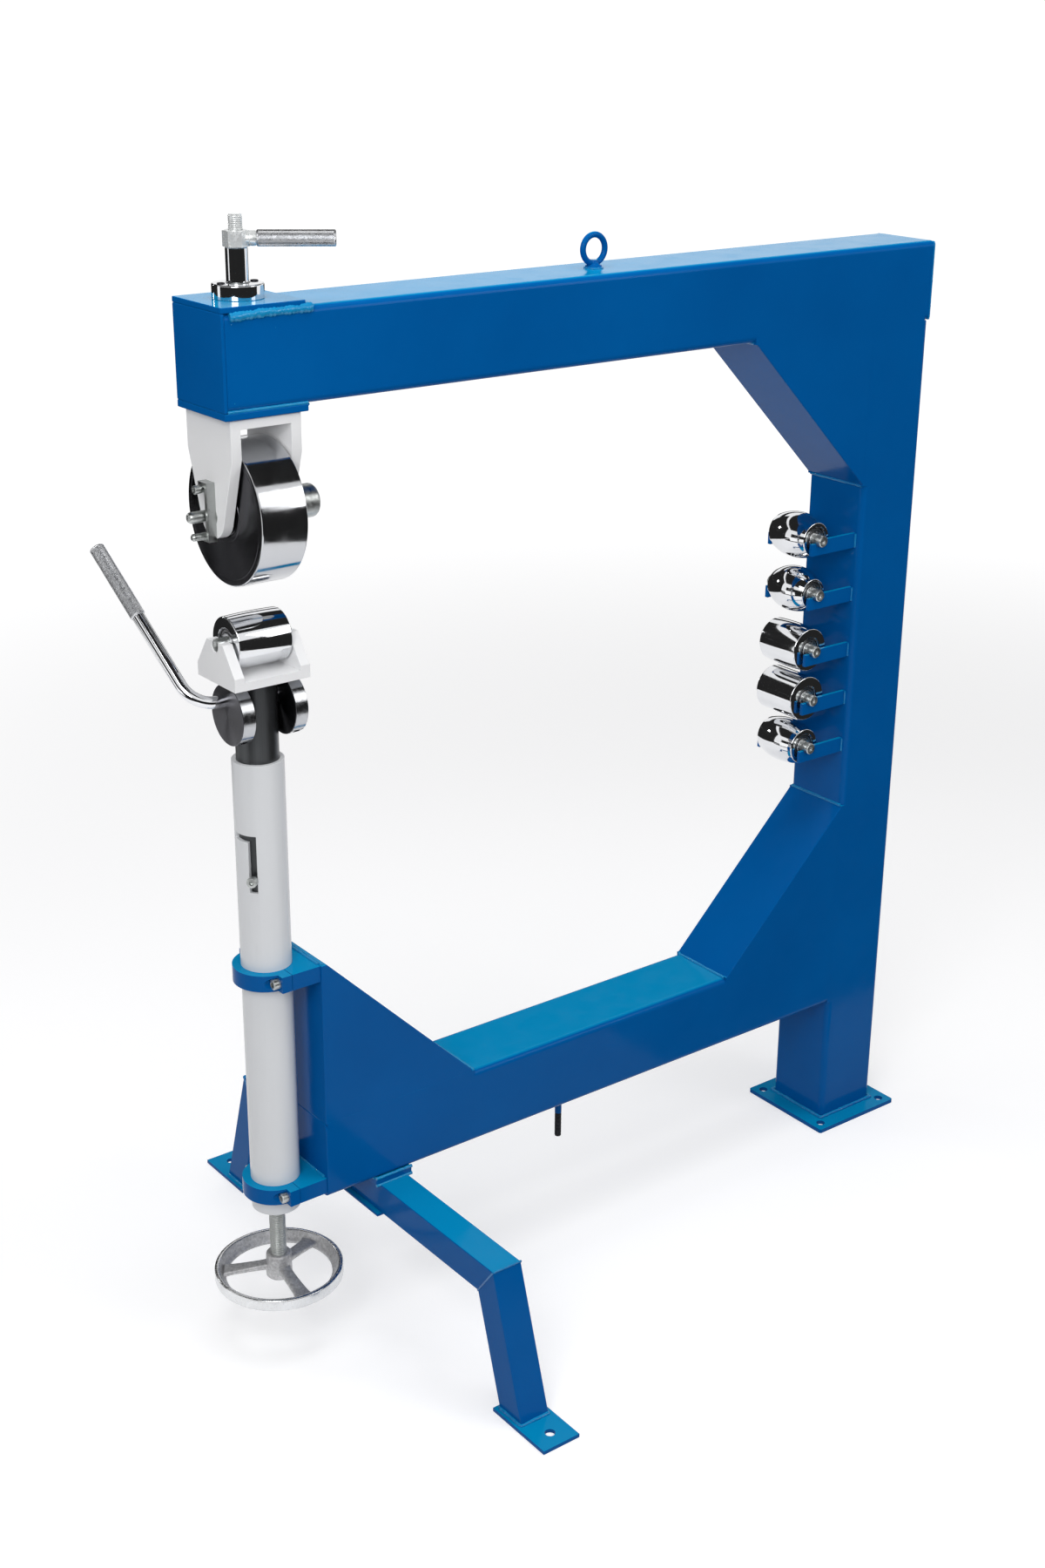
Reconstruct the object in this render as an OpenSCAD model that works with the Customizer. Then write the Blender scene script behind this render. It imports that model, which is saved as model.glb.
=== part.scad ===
// English wheel on a welded C-frame, with a swivelling upper wheel, a screw-raised
// lower anvil on a cam lift, and five spare anvils on the rear column.
// X runs from the wheel end to the rear column, Z is up, and the origin is on the
// floor at the centre of the rear foot plate. Millimetres.

/* [Frame] */
// Side of the square frame tube
tube_w = 100; // [90:1:106]
// Outside corner radius of the frame tube
tube_r = 8; // [5:1:12]
// Wall of the frame tube
tube_t = 4; // [3:0.5:6]
// Height of the underside of the lower arm
arm_z = 194; // [188:1:205]
// Height of the underside of the upper arm
top_arm_z = 1149.5; // [1146:0.5:1165]
// Distance from the column centre to the wheel centre line
reach = 936; // [900:1:980]
// Leg of the two 45 degree gussets, measured along the tubes
gusset_leg = 204; // [150:1:240]
// Thickness of the cap on the rear end of the upper arm
cap_t = 3; // [2:0.5:5]

/* [Rear foot] */
// Side of the rear foot plate
foot_w = 150; // [140:1:180]
// Thickness of the rear foot plate
foot_t = 6; // [5:0.5:12]
// Spacing of the four rear anchor holes
foot_pitch = 120; // [114:1:124]
// Diameter of every anchor hole
anchor_d = 12; // [10:0.5:14]

/* [Legs] */
// Side of the square leg tube
leg_w = 40; // [35:1:45]
// Wall of the leg tube
leg_t = 3; // [2:0.5:4]
// Distance of the legs from the wheel centre line
leg_setback = 138; // [120:1:160]
// Distance from the machine's centre plane to the top of the bend
leg_out = 280; // [250:1:320]
// Angle of the lower leg below the level
leg_angle = 72.8; // [65:0.1:80]
// Thickness of the saddle plate between arm and legs
saddle_t = 10; // [6:1:12]
// Thickness of the splice plate under the leg tube
splice_t = 4; // [3:1:8]
// Length of the saddle and splice plates along the arm
saddle_l = 52; // [48:1:70]
// Width of a front foot plate
front_foot_w = 52; // [48:1:70]
// Length of a front foot plate
front_foot_l = 97; // [90:1:120]
// Thickness of a front foot plate
front_foot_t = 5; // [4:0.5:8]
// Distance of a front anchor hole from the outer end of its plate
front_hole_in = 22; // [16:1:30]

/* [Head] */
// Length of the head plates along the arm
head_l = 99; // [96:1:110]
// Thickness of the head's top plate
head_top_t = 6; // [5:0.5:10]
// Thickness of the head's bottom plate
head_bot_t = 7.5; // [6:0.5:10]
// Thickness of the plate that closes the front of the head
head_front_t = 4; // [3:0.5:6]
// Diameter of the plain part of the spindle
spindle_d = 24; // [20:1:28]
// Wall of the bush that the spindle turns in
bush_wall = 5; // [4:0.5:8]
// Diameter of the spindle's thread
spindle_thread_d = 15; // [12:1:16]
// Diameter of the collar on the head
collar_d = 54; // [50:1:60]
// Height of the collar
collar_h = 15.5; // [12:0.5:20]
// Diameter of the sleeve above the collar
sleeve_d = 23.2; // [20:0.2:26]
// Height of the sleeve
sleeve_h = 35; // [25:1:45]
// Width across the flats of the lock nut
nut_af = 24; // [22:1:27]
// Height of the lock nut
nut_h = 16.5; // [12:0.5:20]
// Length of thread above the lock nut
thread_over = 16.5; // [8:0.5:20]
// Diameter of the lock handle's grip
grip_d = 17; // [14:1:20]
// Length of the lock handle's grip
grip_l = 80; // [60:1:100]
// Direction of the lock handle, seen from above
grip_dir = -34; // [-60:1:0]

/* [Upper wheel] */
// Diameter of the upper wheel
wheel_d = 155.6; // [150:0.2:160]
// Width of the upper wheel
wheel_w = 55.4; // [50:0.2:57]
// Distance from the upper arm's underside down to the upper wheel's centre
wheel_drop = 115.3; // [113:0.1:118]
// Diameter of the upper axle
axle_d = 20; // [16:1:24]
// Gap between the wheel's hub and each cheek
hub_gap = 0.5; // [0.3:0.1:0.9]
// Thickness of the cheeks of the upper yoke
cheek_t = 12; // [10:1:14]
// Gap between the wheel's sides and the cheeks
cheek_gap = 2.3; // [1.5:0.1:3]
// Width of the upper yoke across the arm
yoke_w = 92; // [80:1:100]
// Thickness of the upper yoke's top plate
yoke_top_t = 10; // [8:1:12]
// Radius of the yoke's round lower end
yoke_end_r = 24; // [20:1:26]
// Height of the straight part of the yoke's cheeks
yoke_shoulder = 41; // [34:1:46]
// Diameter of the axle's head behind the rear cheek
axle_head_d = 37; // [30:1:40]
// Length of the axle's head
axle_head_l = 40; // [30:1:45]

/* [Column lift] */
// Outside diameter of the white outer tube
outer_d = 59; // [57:0.5:62]
// Wall of the white outer tube
outer_t = 5.3; // [4.5:0.1:6]
// Wall of the steel inner column
column_t = 5; // [4:0.5:6]
// Distance from the lever rod down to the top of the outer tube
outer_drop = 74.5; // [70:0.5:84]
// Distance from the outer tube's top down to the inner column's lower end
column_drop = 324.5; // [300:0.5:340]
// Height of the bottom of the outer tube
outer_bot = 179.5; // [170:0.5:185]
// Diameter of the lift screw
screw_d = 20; // [16:1:24]
// Width of the guide slot
slot_w = 8; // [6.6:0.1:9]
// Distance from the outer tube's top down to the slot's lower end
slot_low = 153; // [145:0.5:158]
// Distance from the outer tube's top down to the slot's upper end
slot_high = 84; // [65:0.5:90]
// Direction of the slot, seen from above
slot_dir = 219; // [210:1:230]
// Distance from the outer tube's top down to the guide screw
guide_drop = 137.4; // [125:0.1:140]
// Diameter of the handwheel
hand_d = 157; // [140:1:170]
// Height of the handwheel rim's top
hand_z = 92; // [80:1:100]
// Depth of the handwheel rim
rim_h = 15; // [12:1:18]
// Diameter of the handwheel's hub
hub_d = 32; // [28:1:36]

/* [Clamps] */
// Height of both column clamps
clamp_h = 20; // [15:1:22]
// Wall of the clamp ring
clamp_wall = 10; // [8:0.5:12]
// Height of the underside of the lower clamp
clamp_low_z = 200; // [198:1:206]
// Distance from the front gusset's top down to the upper clamp's underside
clamp_drop = 20; // [20:1:33]
// Diameter of the clamp screws
clamp_screw_d = 8; // [6:1:10]
// Length of the clamp screws
clamp_screw_l = 30; // [25:1:35]
// Distance from the wheel centre line to the clamps' split
split_x = 5; // [3:1:8]
// Distance from the wheel centre line to the front of the lower arm
front_x = 43; // [42:1:46]
// Height of the front gusset above the lower arm
front_h = 209; // [205:1:225]

/* [Cam lift] */
// Diameter of the eccentric discs
cam_d = 69; // [64:1:72]
// Thickness of the eccentric discs
cam_t = 16; // [12:1:16]
// Gap between a disc and the inner column
cam_gap = 0.85; // [0.5:0.05:2]
// Gap between the discs and the yoke's base plate at rest
cam_lash = 0.1; // [0.05:0.05:0.3]
// Offset of the disc's centre from the lever rod
cam_e = 17; // [14:0.5:18]
// Angle of the offset from straight down at rest
cam_a = 35; // [30:1:40]
// Diameter of the lever rod
rod_d = 14; // [12:0.5:15]
// Distance from the upper wheel's centre down to the lever rod's axis
rod_drop = 205.2; // [204:0.1:209]
// Elevation of the lever above the level
lever_up = 45; // [35:1:60]
// Bend of the lever rod
lever_bend = 82; // [75:1:88]
// Bend radius of the lever rod
lever_r = 32; // [26:1:36]
// Length of the lever's straight part up to its grip
lever_l = 92; // [60:1:110]
// Length of the lever's grip
lever_grip_l = 92; // [80:1:110]
// Diameter of the lever's grip
lever_grip_d = 17; // [16:0.5:20]

/* [Anvils] */
// Diameter of an anvil
anvil_d = 60; // [54:1:62]
// Length of an anvil
anvil_l = 66; // Distance from the lever rod down to the lower end of the anvil yoke's stem
stem_drop = 60; // [50:1:70]
// [60:1:68]
// Diameter of an anvil's axle
pin_d = 15; // [12:1:16]
// Gap between an anvil's end and its yoke cheek
anvil_gap = 2; // [1:0.5:3]
// Thickness of the anvil yoke's cheeks
anvil_cheek_t = 12; // [8:1:12]
// Width of the anvil yoke
anvil_yoke_w = 80; // [76:1:84]
// Thickness of the anvil yoke's base plate
anvil_base_t = 9.5; // [8:0.5:10]
// Gap between the working anvil and the base plate
anvil_under = 3.5; // [2:0.5:5]

/* [Anvil rack] */
// Share of the free height between the gussets that lies under the rack
rack_share = 0.6; // [0.5:0.05:0.7]
// Steps up from one spare anvil to the next
rack_steps = [0, 68, 136, 213, 286];
// Distance of the spare axles from the column's face
rack_out = 64; // [58:1:70]
// Thickness of the rack's arms
rack_t = 5; // [4:1:6]
// Depth of the rack's arms
rack_h = 20; // [18:1:24]

/* [Fittings] */
// Distance of the lifting eye from the column centre
eye_x = 469; // [440:1:500]
// Outside diameter of the lifting eye's ring
eye_d = 39; // [34:1:44]
// Diameter of the stock of the lifting eye's ring
eye_stock = 7; // [6:0.5:9]
// Distance of the stud under the lower arm from the column centre
stud_x = 502; // [480:1:520]
// Diameter of the stud under the lower arm
stud_d = 9; // [8:0.5:10]
// Length of the stud under the lower arm
stud_l = 78; // [60:1:90]

/* [Hidden] */
$fn = 64;
run = 0.05;                              // radial running clearance
free = 0.3;                              // gap between pieces that only pass each other
column_d = outer_d - 2 * outer_t - 2 * run;  // the inner column fills the outer tube
wx = -reach;                             // wheel centre line
half = tube_w / 2;
top_z = top_arm_z + tube_w;              // top of the upper arm
low_top = arm_z + tube_w;                // top of the lower arm
wheel_z = top_arm_z - wheel_drop;
rod_z = wheel_z - rod_drop;
outer_top = rod_z - outer_drop;
slot_bot = outer_top - slot_low;
slot_top = outer_top - slot_high;
guide_z = outer_top - guide_drop;
clamp_high_z = low_top + front_h - clamp_drop;
head_x = wx - head_l / 2;                // front of the head
front = wx + front_x;                    // front face of the lower arm
head_under = top_arm_z - head_bot_t;
yoke_top = head_under - 1;
yoke_half = wheel_w / 2 + cheek_gap + cheek_t;
collar_z = top_z + head_top_t;
sleeve_z = collar_z + collar_h + free;
nut_z = sleeve_z + sleeve_h;
cam_x = column_d / 2 + cam_gap;          // inner face of each disc
base_z = rod_z - cam_e * cos(cam_a) + cam_d / 2 + cam_lash;
anvil_z = base_z + anvil_base_t + anvil_under + anvil_d / 2;
anvil_half = anvil_l / 2 + anvil_gap + anvil_cheek_t;
leg_x = wx + leg_setback;
leg_top = arm_z - saddle_t;
leg_low = leg_top - leg_w;
leg_in = leg_out - leg_w * tan(leg_angle / 2);
foot_out = leg_out + (leg_top - front_foot_t) / tan(leg_angle);
foot_end = foot_out + 50;
rack_x = -half - rack_out;
rack_y = anvil_l / 2 + 3;
hub_top = hand_z + 17;
hub_low = hand_z - 8;
column_low = outer_top - column_drop;          // lower end of the inner column
rack_room = top_arm_z - low_top - 2 * gusset_leg - rack_steps[4];
rack_z = low_top + gusset_leg + rack_share * rack_room;  // the lowest spare axle

blue = [0.02, 0.28, 0.55];
white = [0.9, 0.9, 0.92];
steel = [0.3, 0.3, 0.32];
chrome = [0.75, 0.76, 0.78];
zinc = [0.7, 0.72, 0.7];
cast = [0.6, 0.6, 0.6];

// Helpers

// A rounded rectangle centred on the origin
module round_rect(w, h, r) {
    square([w - 2 * r, h], center = true);
    square([w, h - 2 * r], center = true);
    for (x = [-1, 1], y = [-1, 1])
        translate([x * (w / 2 - r), y * (h / 2 - r)]) circle(r);
}

// The hollow section of the frame tube
module tube_section() {
    difference() {
        round_rect(tube_w, tube_w, tube_r);
        round_rect(tube_w - 2 * tube_t, tube_w - 2 * tube_t, tube_r - tube_t / 2);
    }
}

// A frame tube that runs along X from x0 to x1 on the height z
module tube_along(x0, x1, z) {
    translate([x0, 0, z + half]) rotate([90, 0, 90]) linear_extrude(x1 - x0) tube_section();
}

// A cylinder along X, from x0 to x1
module rod_x(d, x0, x1, y, z) {
    translate([x0, y, z]) rotate([0, 90, 0]) cylinder(d = d, h = x1 - x0);
}

// A cylinder along Y, from y0 to y1
module rod_y(d, y0, y1, x, z) {
    translate([x, y1, z]) rotate([90, 0, 0]) cylinder(d = d, h = y1 - y0);
}

// A plate of the outline (y, z) that its children draw, from x0 to x1
module plate_yz(x0, x1) {
    translate([x0, 0, 0]) rotate([90, 0, 90]) linear_extrude(x1 - x0) children();
}

// A plate of the outline (x, z) that its children draw, from y0 to y1
module plate_xz(y0, y1) {
    translate([0, y1, 0]) rotate([90, 0, 0]) linear_extrude(y1 - y0) children();
}

// A socket head screw along -Z: head, socket and shank
module socket_screw(d, shank) {
    difference() {
        cylinder(d = 1.6 * d, h = d);
        translate([0, 0, d * 0.5]) cylinder(d = d * 0.95, h = d, $fn = 6);
    }
    translate([0, 0, -shank]) cylinder(d = d, h = shank);
}

// Frame

module rear_foot_plate() {
    color(blue) difference() {
        linear_extrude(foot_t) round_rect(foot_w, foot_w, 3);
        for (x = [-1, 1], y = [-1, 1])
            translate([x * foot_pitch / 2, y * foot_pitch / 2, -1])
                cylinder(d = anchor_d, h = foot_t + 2);
    }
}

module rear_column() {
    color(blue) translate([0, 0, foot_t]) linear_extrude(top_arm_z - foot_t) tube_section();
}

module lower_arm() {
    color(blue) {
        tube_along(front, -half, arm_z);
        plate_yz(front, front + tube_t)
            translate([0, arm_z + half]) round_rect(tube_w, tube_w, tube_r);
    }
}

module upper_arm() {
    color(blue) difference() {
        tube_along(head_x + head_front_t, half, top_arm_z);
        translate([wx, 0, top_arm_z - 1]) cylinder(d = spindle_d + 2 * bush_wall, h = tube_w + 2);
    }
}

module arm_end_cap() {
    color(blue) plate_yz(half, half + cap_t)
        translate([0, top_arm_z + half]) round_rect(tube_w - 2, tube_w - 2, tube_r / 2);
}

// A closed 45 degree gusset box between the column and an arm
module gusset(up) {
    wall = tube_t;
    leg = gusset_leg;
    difference() {
        plate_xz(-half, half) polygon([[-half, 0], [-half, up * leg], [-half - leg, 0]]);
        plate_xz(-half + wall, half - wall)
            polygon([[-half - wall, up * wall], [-half - wall, up * (leg - 2.4 * wall)],
                     [-half - leg + 2.4 * wall, up * wall]]);
    }
}

module lower_gusset() {
    color(blue) translate([0, 0, low_top]) gusset(1);
}

module upper_gusset() {
    color(blue) translate([0, 0, top_arm_z]) gusset(-1);
}

// The sloping box that stands on the front end of the lower arm
module front_gusset() {
    wall = tube_t;
    color(blue) difference() {
        translate([0, 0, low_top]) plate_xz(-half, half)
            polygon([[front, 0], [front, front_h], [front + 8, front_h], [front + front_h + 8, 0]]);
        translate([0, 0, low_top]) plate_xz(-half + wall, half - wall)
            polygon([[front + wall, wall], [front + wall, front_h - 2 * wall],
                     [front + front_h - 2 * wall, wall]]);
    }
}

module head_top_plate() {
    color(blue) difference() {
        translate([head_x, -half, top_z]) cube([head_l, tube_w, head_top_t]);
        translate([wx, 0, top_z - 1]) cylinder(d = spindle_d + 2 * bush_wall, h = head_top_t + 2);
    }
}

module head_bottom_plate() {
    color(blue) difference() {
        translate([head_x, -half, head_under]) cube([head_l, tube_w, head_bot_t]);
        translate([wx, 0, head_under - 1]) cylinder(d = spindle_d + 2 * bush_wall, h = head_bot_t + 2);
    }
}

module head_front_plate() {
    color(blue) plate_yz(head_x, head_x + head_front_t)
        translate([0, top_arm_z + half]) round_rect(tube_w, tube_w, 2);
}

module spindle_bush() {
    color(steel) translate([wx, 0, head_under]) difference() {
        cylinder(d = spindle_d + 2 * bush_wall, h = collar_z - head_under);
        translate([0, 0, -1]) cylinder(d = spindle_d + 2 * run, h = collar_z - head_under + 2);
    }
}

module spindle_collar() {
    color(chrome) translate([wx, 0, collar_z]) {
        difference() {
            union() {
                cylinder(d = collar_d, h = collar_h - 1);
                cylinder(d = collar_d - 2, h = collar_h);
            }
            translate([0, 0, -1]) cylinder(d = spindle_d + 2 * run, h = collar_h + 2);
            for (a = [0, 180]) rotate(a) translate([collar_d / 2 - 7.5, 0, collar_h - 3])
                cylinder(d = 9, h = 4);
        }
        for (a = [0, 180]) rotate(a) translate([collar_d / 2 - 7.5, 0, collar_h - 3]) difference() {
            cylinder(d = 8.4, h = 4);
            translate([0, 0, 2]) cylinder(d = 4.6, h = 3, $fn = 6);
        }
    }
}

module lifting_eye() {
    ring_r = (eye_d - eye_stock) / 2;
    color(blue) translate([-eye_x, 0, top_z]) {
        cylinder(d = 20, h = 3.5);
        translate([0, 0, 3]) cylinder(d = 13, h = 4);
        translate([0, 0, 2 + ring_r + eye_stock / 2]) rotate([90, 0, 0])
            rotate_extrude() translate([ring_r, 0]) circle(d = eye_stock, $fn = 32);
    }
}

// One rack arm in (x, z): a flat bar whose notch holds a spare axle from below
module rack_arm_outline(z) {
    difference() {
        translate([rack_x - pin_d, z - rack_h + 1]) square([rack_out + pin_d, rack_h]);
        translate([rack_x, z]) circle(d = pin_d + 2 * free);
        translate([rack_x - pin_d / 2 - free, z]) square([pin_d + 2 * free, rack_h]);
        translate([rack_x - pin_d - 1, z - 3]) square([pin_d, rack_h]);
    }
}

module rack_arms() {
    color(blue) for (step = rack_steps, side = [-1, 1])
        plate_xz(side * (rack_y + rack_t / 2) - rack_t / 2, side * (rack_y + rack_t / 2) + rack_t / 2)
            rack_arm_outline(rack_z + step);
}

// Legs

module leg_saddle_plate() {
    color(blue) translate([leg_x - saddle_l / 2, -half, leg_top]) cube([saddle_l, tube_w, saddle_t]);
}

module leg_splice_plate() {
    color(blue) translate([leg_x - saddle_l / 2, -half, leg_low - splice_t])
        cube([saddle_l, tube_w, splice_t]);
}

module leg_cross_tube() {
    color(blue) difference() {
        plate_yz(leg_x - leg_w / 2, leg_x + leg_w / 2)
            polygon([[-leg_out, leg_top], [leg_out, leg_top], [leg_in, leg_low], [-leg_in, leg_low]]);
        plate_yz(leg_x - leg_w / 2 + leg_t, leg_x + leg_w / 2 - leg_t)
            polygon([[-leg_out, leg_top - leg_t], [leg_out, leg_top - leg_t],
                     [leg_out, leg_low + leg_t], [-leg_out, leg_low + leg_t]]);
    }
}

// The lower leg on the +Y side, mitred to the cross tube and cut level on its foot
module lower_leg() {
    lean = 1 / tan(leg_angle);
    wall = leg_t / sin(leg_angle);
    y_out = leg_out + (leg_top - front_foot_t) * lean;
    y_in = leg_in + (leg_low - front_foot_t) * lean;
    difference() {
        plate_yz(leg_x - leg_w / 2, leg_x + leg_w / 2)
            polygon([[leg_out, leg_top], [y_out, front_foot_t], [y_in, front_foot_t], [leg_in, leg_low]]);
        plate_yz(leg_x - leg_w / 2 + leg_t, leg_x + leg_w / 2 - leg_t)
            polygon([[leg_out - wall - 5 * lean, leg_top + 5], [y_out - wall + 5 * lean, front_foot_t - 5],
                     [y_in + wall + 5 * lean, front_foot_t - 5],
                     [leg_in + wall - 25 * lean, leg_low + 25]]);
    }
}

module near_leg() {
    color(blue) mirror([0, 1, 0]) lower_leg();
}

module far_leg() {
    color(blue) lower_leg();
}

module front_foot() {
    difference() {
        translate([leg_x - front_foot_w / 2, foot_end - front_foot_l, 0])
            cube([front_foot_w, front_foot_l, front_foot_t]);
        translate([leg_x, foot_end - front_hole_in, -1]) cylinder(d = anchor_d, h = front_foot_t + 2);
    }
}

module near_foot() {
    color(blue) mirror([0, 1, 0]) front_foot();
}

module far_foot() {
    color(blue) front_foot();
}

module underside_stud() {
    color(blue) translate([-stud_x, 0, arm_z - stud_l]) cylinder(d = stud_d, h = stud_l);
}

// Outer column and clamps

module outer_column() {
    bore = column_d + 2 * run;
    side = asin(slot_w / bore);          // half the slot's angle, seen from above
    color(white) translate([wx, 0, 0]) difference() {
        translate([0, 0, outer_bot]) cylinder(d = outer_d, h = outer_top - outer_bot);
        translate([0, 0, outer_bot - 1]) cylinder(d = bore, h = outer_top - outer_bot + 2);
        difference() {
            rotate(slot_dir - 58) rotate_extrude(angle = 58 + side)
                translate([column_d / 2 - 1, slot_bot]) square([outer_d, slot_top - slot_bot]);
            rotate(slot_dir - 60) rotate_extrude(angle = 60 - side)
                translate([column_d / 2 - 2, slot_bot - 1])
                    square([outer_d + 2, slot_top - slot_bot - slot_w + 1]);
        }
    }
}

module column_nut() {
    color(steel) translate([wx, 0, outer_bot + 2]) difference() {
        cylinder(d = column_d + 2 * run, h = 30);
        translate([0, 0, -1]) cylinder(d = screw_d + 2 * run, h = 32);
    }
}

// The half of a clamp between the split and the front face of the frame
module clamp_block(z) {
    translate([0, 0, z]) difference() {
        translate([wx + split_x + 0.6, -clamp_lug(), 0])
            cube([front_x - split_x - 0.6, 2 * clamp_lug(), clamp_h]);
        translate([wx, 0, -1]) cylinder(d = outer_d, h = clamp_h + 2);
        for (y = [-1, 1]) translate([wx + split_x - 1, y * clamp_bolt_y(), clamp_h / 2])
            rotate([0, 90, 0]) cylinder(d = clamp_screw_d, h = clamp_screw_l - 11);
    }
}

function clamp_bolt_y() = outer_d / 2 + 1.5 + clamp_screw_d;
function clamp_lug() = clamp_bolt_y() + clamp_screw_d + 1;

// The front cap of a clamp: half a ring with a lug on each side
module clamp_cap(z) {
    ring_d = outer_d + 2 * clamp_wall;
    lug = clamp_lug();
    translate([wx, 0, z]) difference() {
        union() {
            intersection() {
                cylinder(d = ring_d, h = clamp_h);
                translate([-ring_d, -ring_d, -1]) cube([ring_d + split_x, 2 * ring_d, clamp_h + 2]);
            }
            translate([split_x - 13, -lug, 0]) cube([13, 2 * lug, clamp_h]);
        }
        translate([0, 0, -1]) cylinder(d = outer_d, h = clamp_h + 2);
        for (y = [-1, 1]) translate([split_x - 14, y * clamp_bolt_y(), clamp_h / 2])
            rotate([0, 90, 0]) cylinder(d = clamp_screw_d + 2 * run, h = 15);
        for (y = [-1, 1]) translate([split_x - 13, y * clamp_bolt_y(), clamp_h / 2])
            rotate([0, -90, 0]) cylinder(d = 1.6 * clamp_screw_d + 2 * free, h = clamp_screw_l);
    }
}

module upper_clamp_block() {
    color(blue) clamp_block(clamp_high_z);
}

module upper_clamp_cap() {
    color(blue) clamp_cap(clamp_high_z);
}

module lower_clamp_block() {
    color(blue) clamp_block(clamp_low_z);
}

module lower_clamp_cap() {
    color(blue) clamp_cap(clamp_low_z);
}

module clamp_screws() {
    color(zinc) for (z = [clamp_low_z, clamp_high_z], y = [-1, 1])
        translate([wx + split_x - 13, y * clamp_bolt_y(), z + clamp_h / 2])
            rotate([0, -90, 0]) socket_screw(clamp_screw_d, clamp_screw_l);
}

// Upper wheel and its swivel

module spindle() {
    color(zinc) translate([wx, 0, 0]) {
        translate([0, 0, yoke_top]) cylinder(d = spindle_d, h = sleeve_z - yoke_top);
        translate([0, 0, collar_z]) cylinder(d = spindle_thread_d, h = nut_z + nut_h + thread_over - collar_z);
    }
}

module spindle_sleeve() {
    color(chrome) translate([wx, 0, sleeve_z]) difference() {
        cylinder(d = sleeve_d, h = sleeve_h);
        translate([0, 0, -1]) cylinder(d = spindle_thread_d, h = sleeve_h + 2);
    }
}

// A cheek in (y, z), whose sides run tangent to its round lower end
module yoke_cheek_outline() {
    w = yoke_w / 2;
    rise = yoke_top - yoke_shoulder - wheel_z;
    far = sqrt(w * w + rise * rise);
    a = atan2(rise, w) - acos(yoke_end_r / far);
    touch = [yoke_end_r * cos(a), yoke_end_r * sin(a)];
    translate([0, wheel_z]) {
        polygon([[-w, yoke_top - wheel_z], [w, yoke_top - wheel_z], [w, rise], touch,
                 [-touch[0], touch[1]], [-w, rise]]);
        circle(yoke_end_r);
    }
}

module upper_yoke() {
    color(white) difference() {
        union() {
            for (x = [-yoke_half, yoke_half - cheek_t])
                plate_yz(wx + x, wx + x + cheek_t) yoke_cheek_outline();
            translate([wx - yoke_half + 1, -yoke_w / 2, yoke_top - yoke_top_t])
                cube([2 * yoke_half - 2, yoke_w, yoke_top_t]);
        }
        rod_x(axle_d, wx - yoke_half - 1, wx + yoke_half + 1, 0, wheel_z);
    }
}

module upper_axle() {
    color(zinc) {
        rod_x(axle_d, wx - yoke_half, wx + yoke_half + 1, 0, wheel_z);
        rod_x(axle_head_d, wx + yoke_half, wx + yoke_half + axle_head_l - 1.5, 0, wheel_z);
        rod_x(axle_head_d - 3, wx + yoke_half, wx + yoke_half + axle_head_l, 0, wheel_z);
    }
}

module axle_keeper() {
    x = wx - yoke_half;
    color(zinc) difference() {
        translate([x - 10, -8, wheel_z - 26]) cube([10, 18, 63]);
        translate([x - 11, -4, wheel_z - 21]) cube([8, 15, 53]);
        for (z = keeper_pin_z()) rod_x(8, x - 11, x + 1, 5, z);
    }
}

function keeper_pin_z() = [wheel_z - 21.5, wheel_z, wheel_z + 29];

module keeper_pins() {
    x = wx - yoke_half;
    color(zinc) {
        rod_x(8, x - 23, x, 5, keeper_pin_z()[0]);
        rod_x(12.5, x - 27, x - 3, 5, keeper_pin_z()[1]);
        rod_x(8, x - 4, x, 5, keeper_pin_z()[1]);
        rod_x(9.5, x - 18, x - 10, 5, keeper_pin_z()[2]);
        rod_x(8, x - 11, x, 5, keeper_pin_z()[2]);
    }
}

module upper_wheel() {
    w = wheel_w / 2;
    r = wheel_d / 2;
    boss = wheel_w / 2 + cheek_gap - hub_gap;
    color(steel) translate([wx, 0, wheel_z]) rotate([0, 90, 0]) rotate_extrude($fn = 128)
        polygon([[axle_d / 2 + run, -boss], [22, -boss], [22, -w + 2], [24, -w], [r - 0.8, -w],
                 [r, -w + 0.8], [r, w - 0.8], [r - 0.8, w], [24, w], [22, w - 2], [22, boss],
                 [axle_d / 2 + run, boss]]);
}

module lock_nut() {
    color(zinc) translate([wx, 0, nut_z + free]) difference() {
        union() {
            rotate(grip_dir) cylinder(d = nut_af / cos(30), h = nut_h - 2 * free, $fn = 6);
            cylinder(d = nut_af - 1, h = nut_h);
            rotate(grip_dir) translate([0, 0, nut_h / 2]) rotate([0, 90, 0])
                cylinder(d = 13, h = nut_af / 2 + 9);
        }
        translate([0, 0, -1]) cylinder(d = spindle_thread_d + 2 * run, h = nut_h + 3);
    }
}

module lock_grip() {
    color(chrome) translate([wx, 0, nut_z + free + nut_h / 2]) rotate(grip_dir)
        translate([nut_af / 2 + 9, 0, 0]) rotate([0, 90, 0]) {
            translate([0, 0, 0.8]) cylinder(d = grip_d, h = grip_l - 1.6);
            cylinder(d = grip_d - 1.6, h = grip_l);
        }
}

// Column lift

module inner_column() {
    top = base_z - 4;
    color(steel) translate([wx, 0, 0]) difference() {
        translate([0, 0, column_low]) cylinder(d = column_d, h = top - column_low);
        translate([0, 0, column_low + 20]) cylinder(d = column_d - 2 * column_t, h = top);
        translate([0, 0, column_low - 1]) cylinder(d = screw_d - 4 + 2 * run, h = 16);
        translate([-column_d, 0, rod_z]) rotate([0, 90, 0]) cylinder(d = rod_d + 2 * run, h = 2 * column_d);
        rotate(slot_dir) translate([0, 0, guide_z]) rotate([0, 90, 0]) cylinder(d = 6.4, h = column_d);
    }
}

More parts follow.
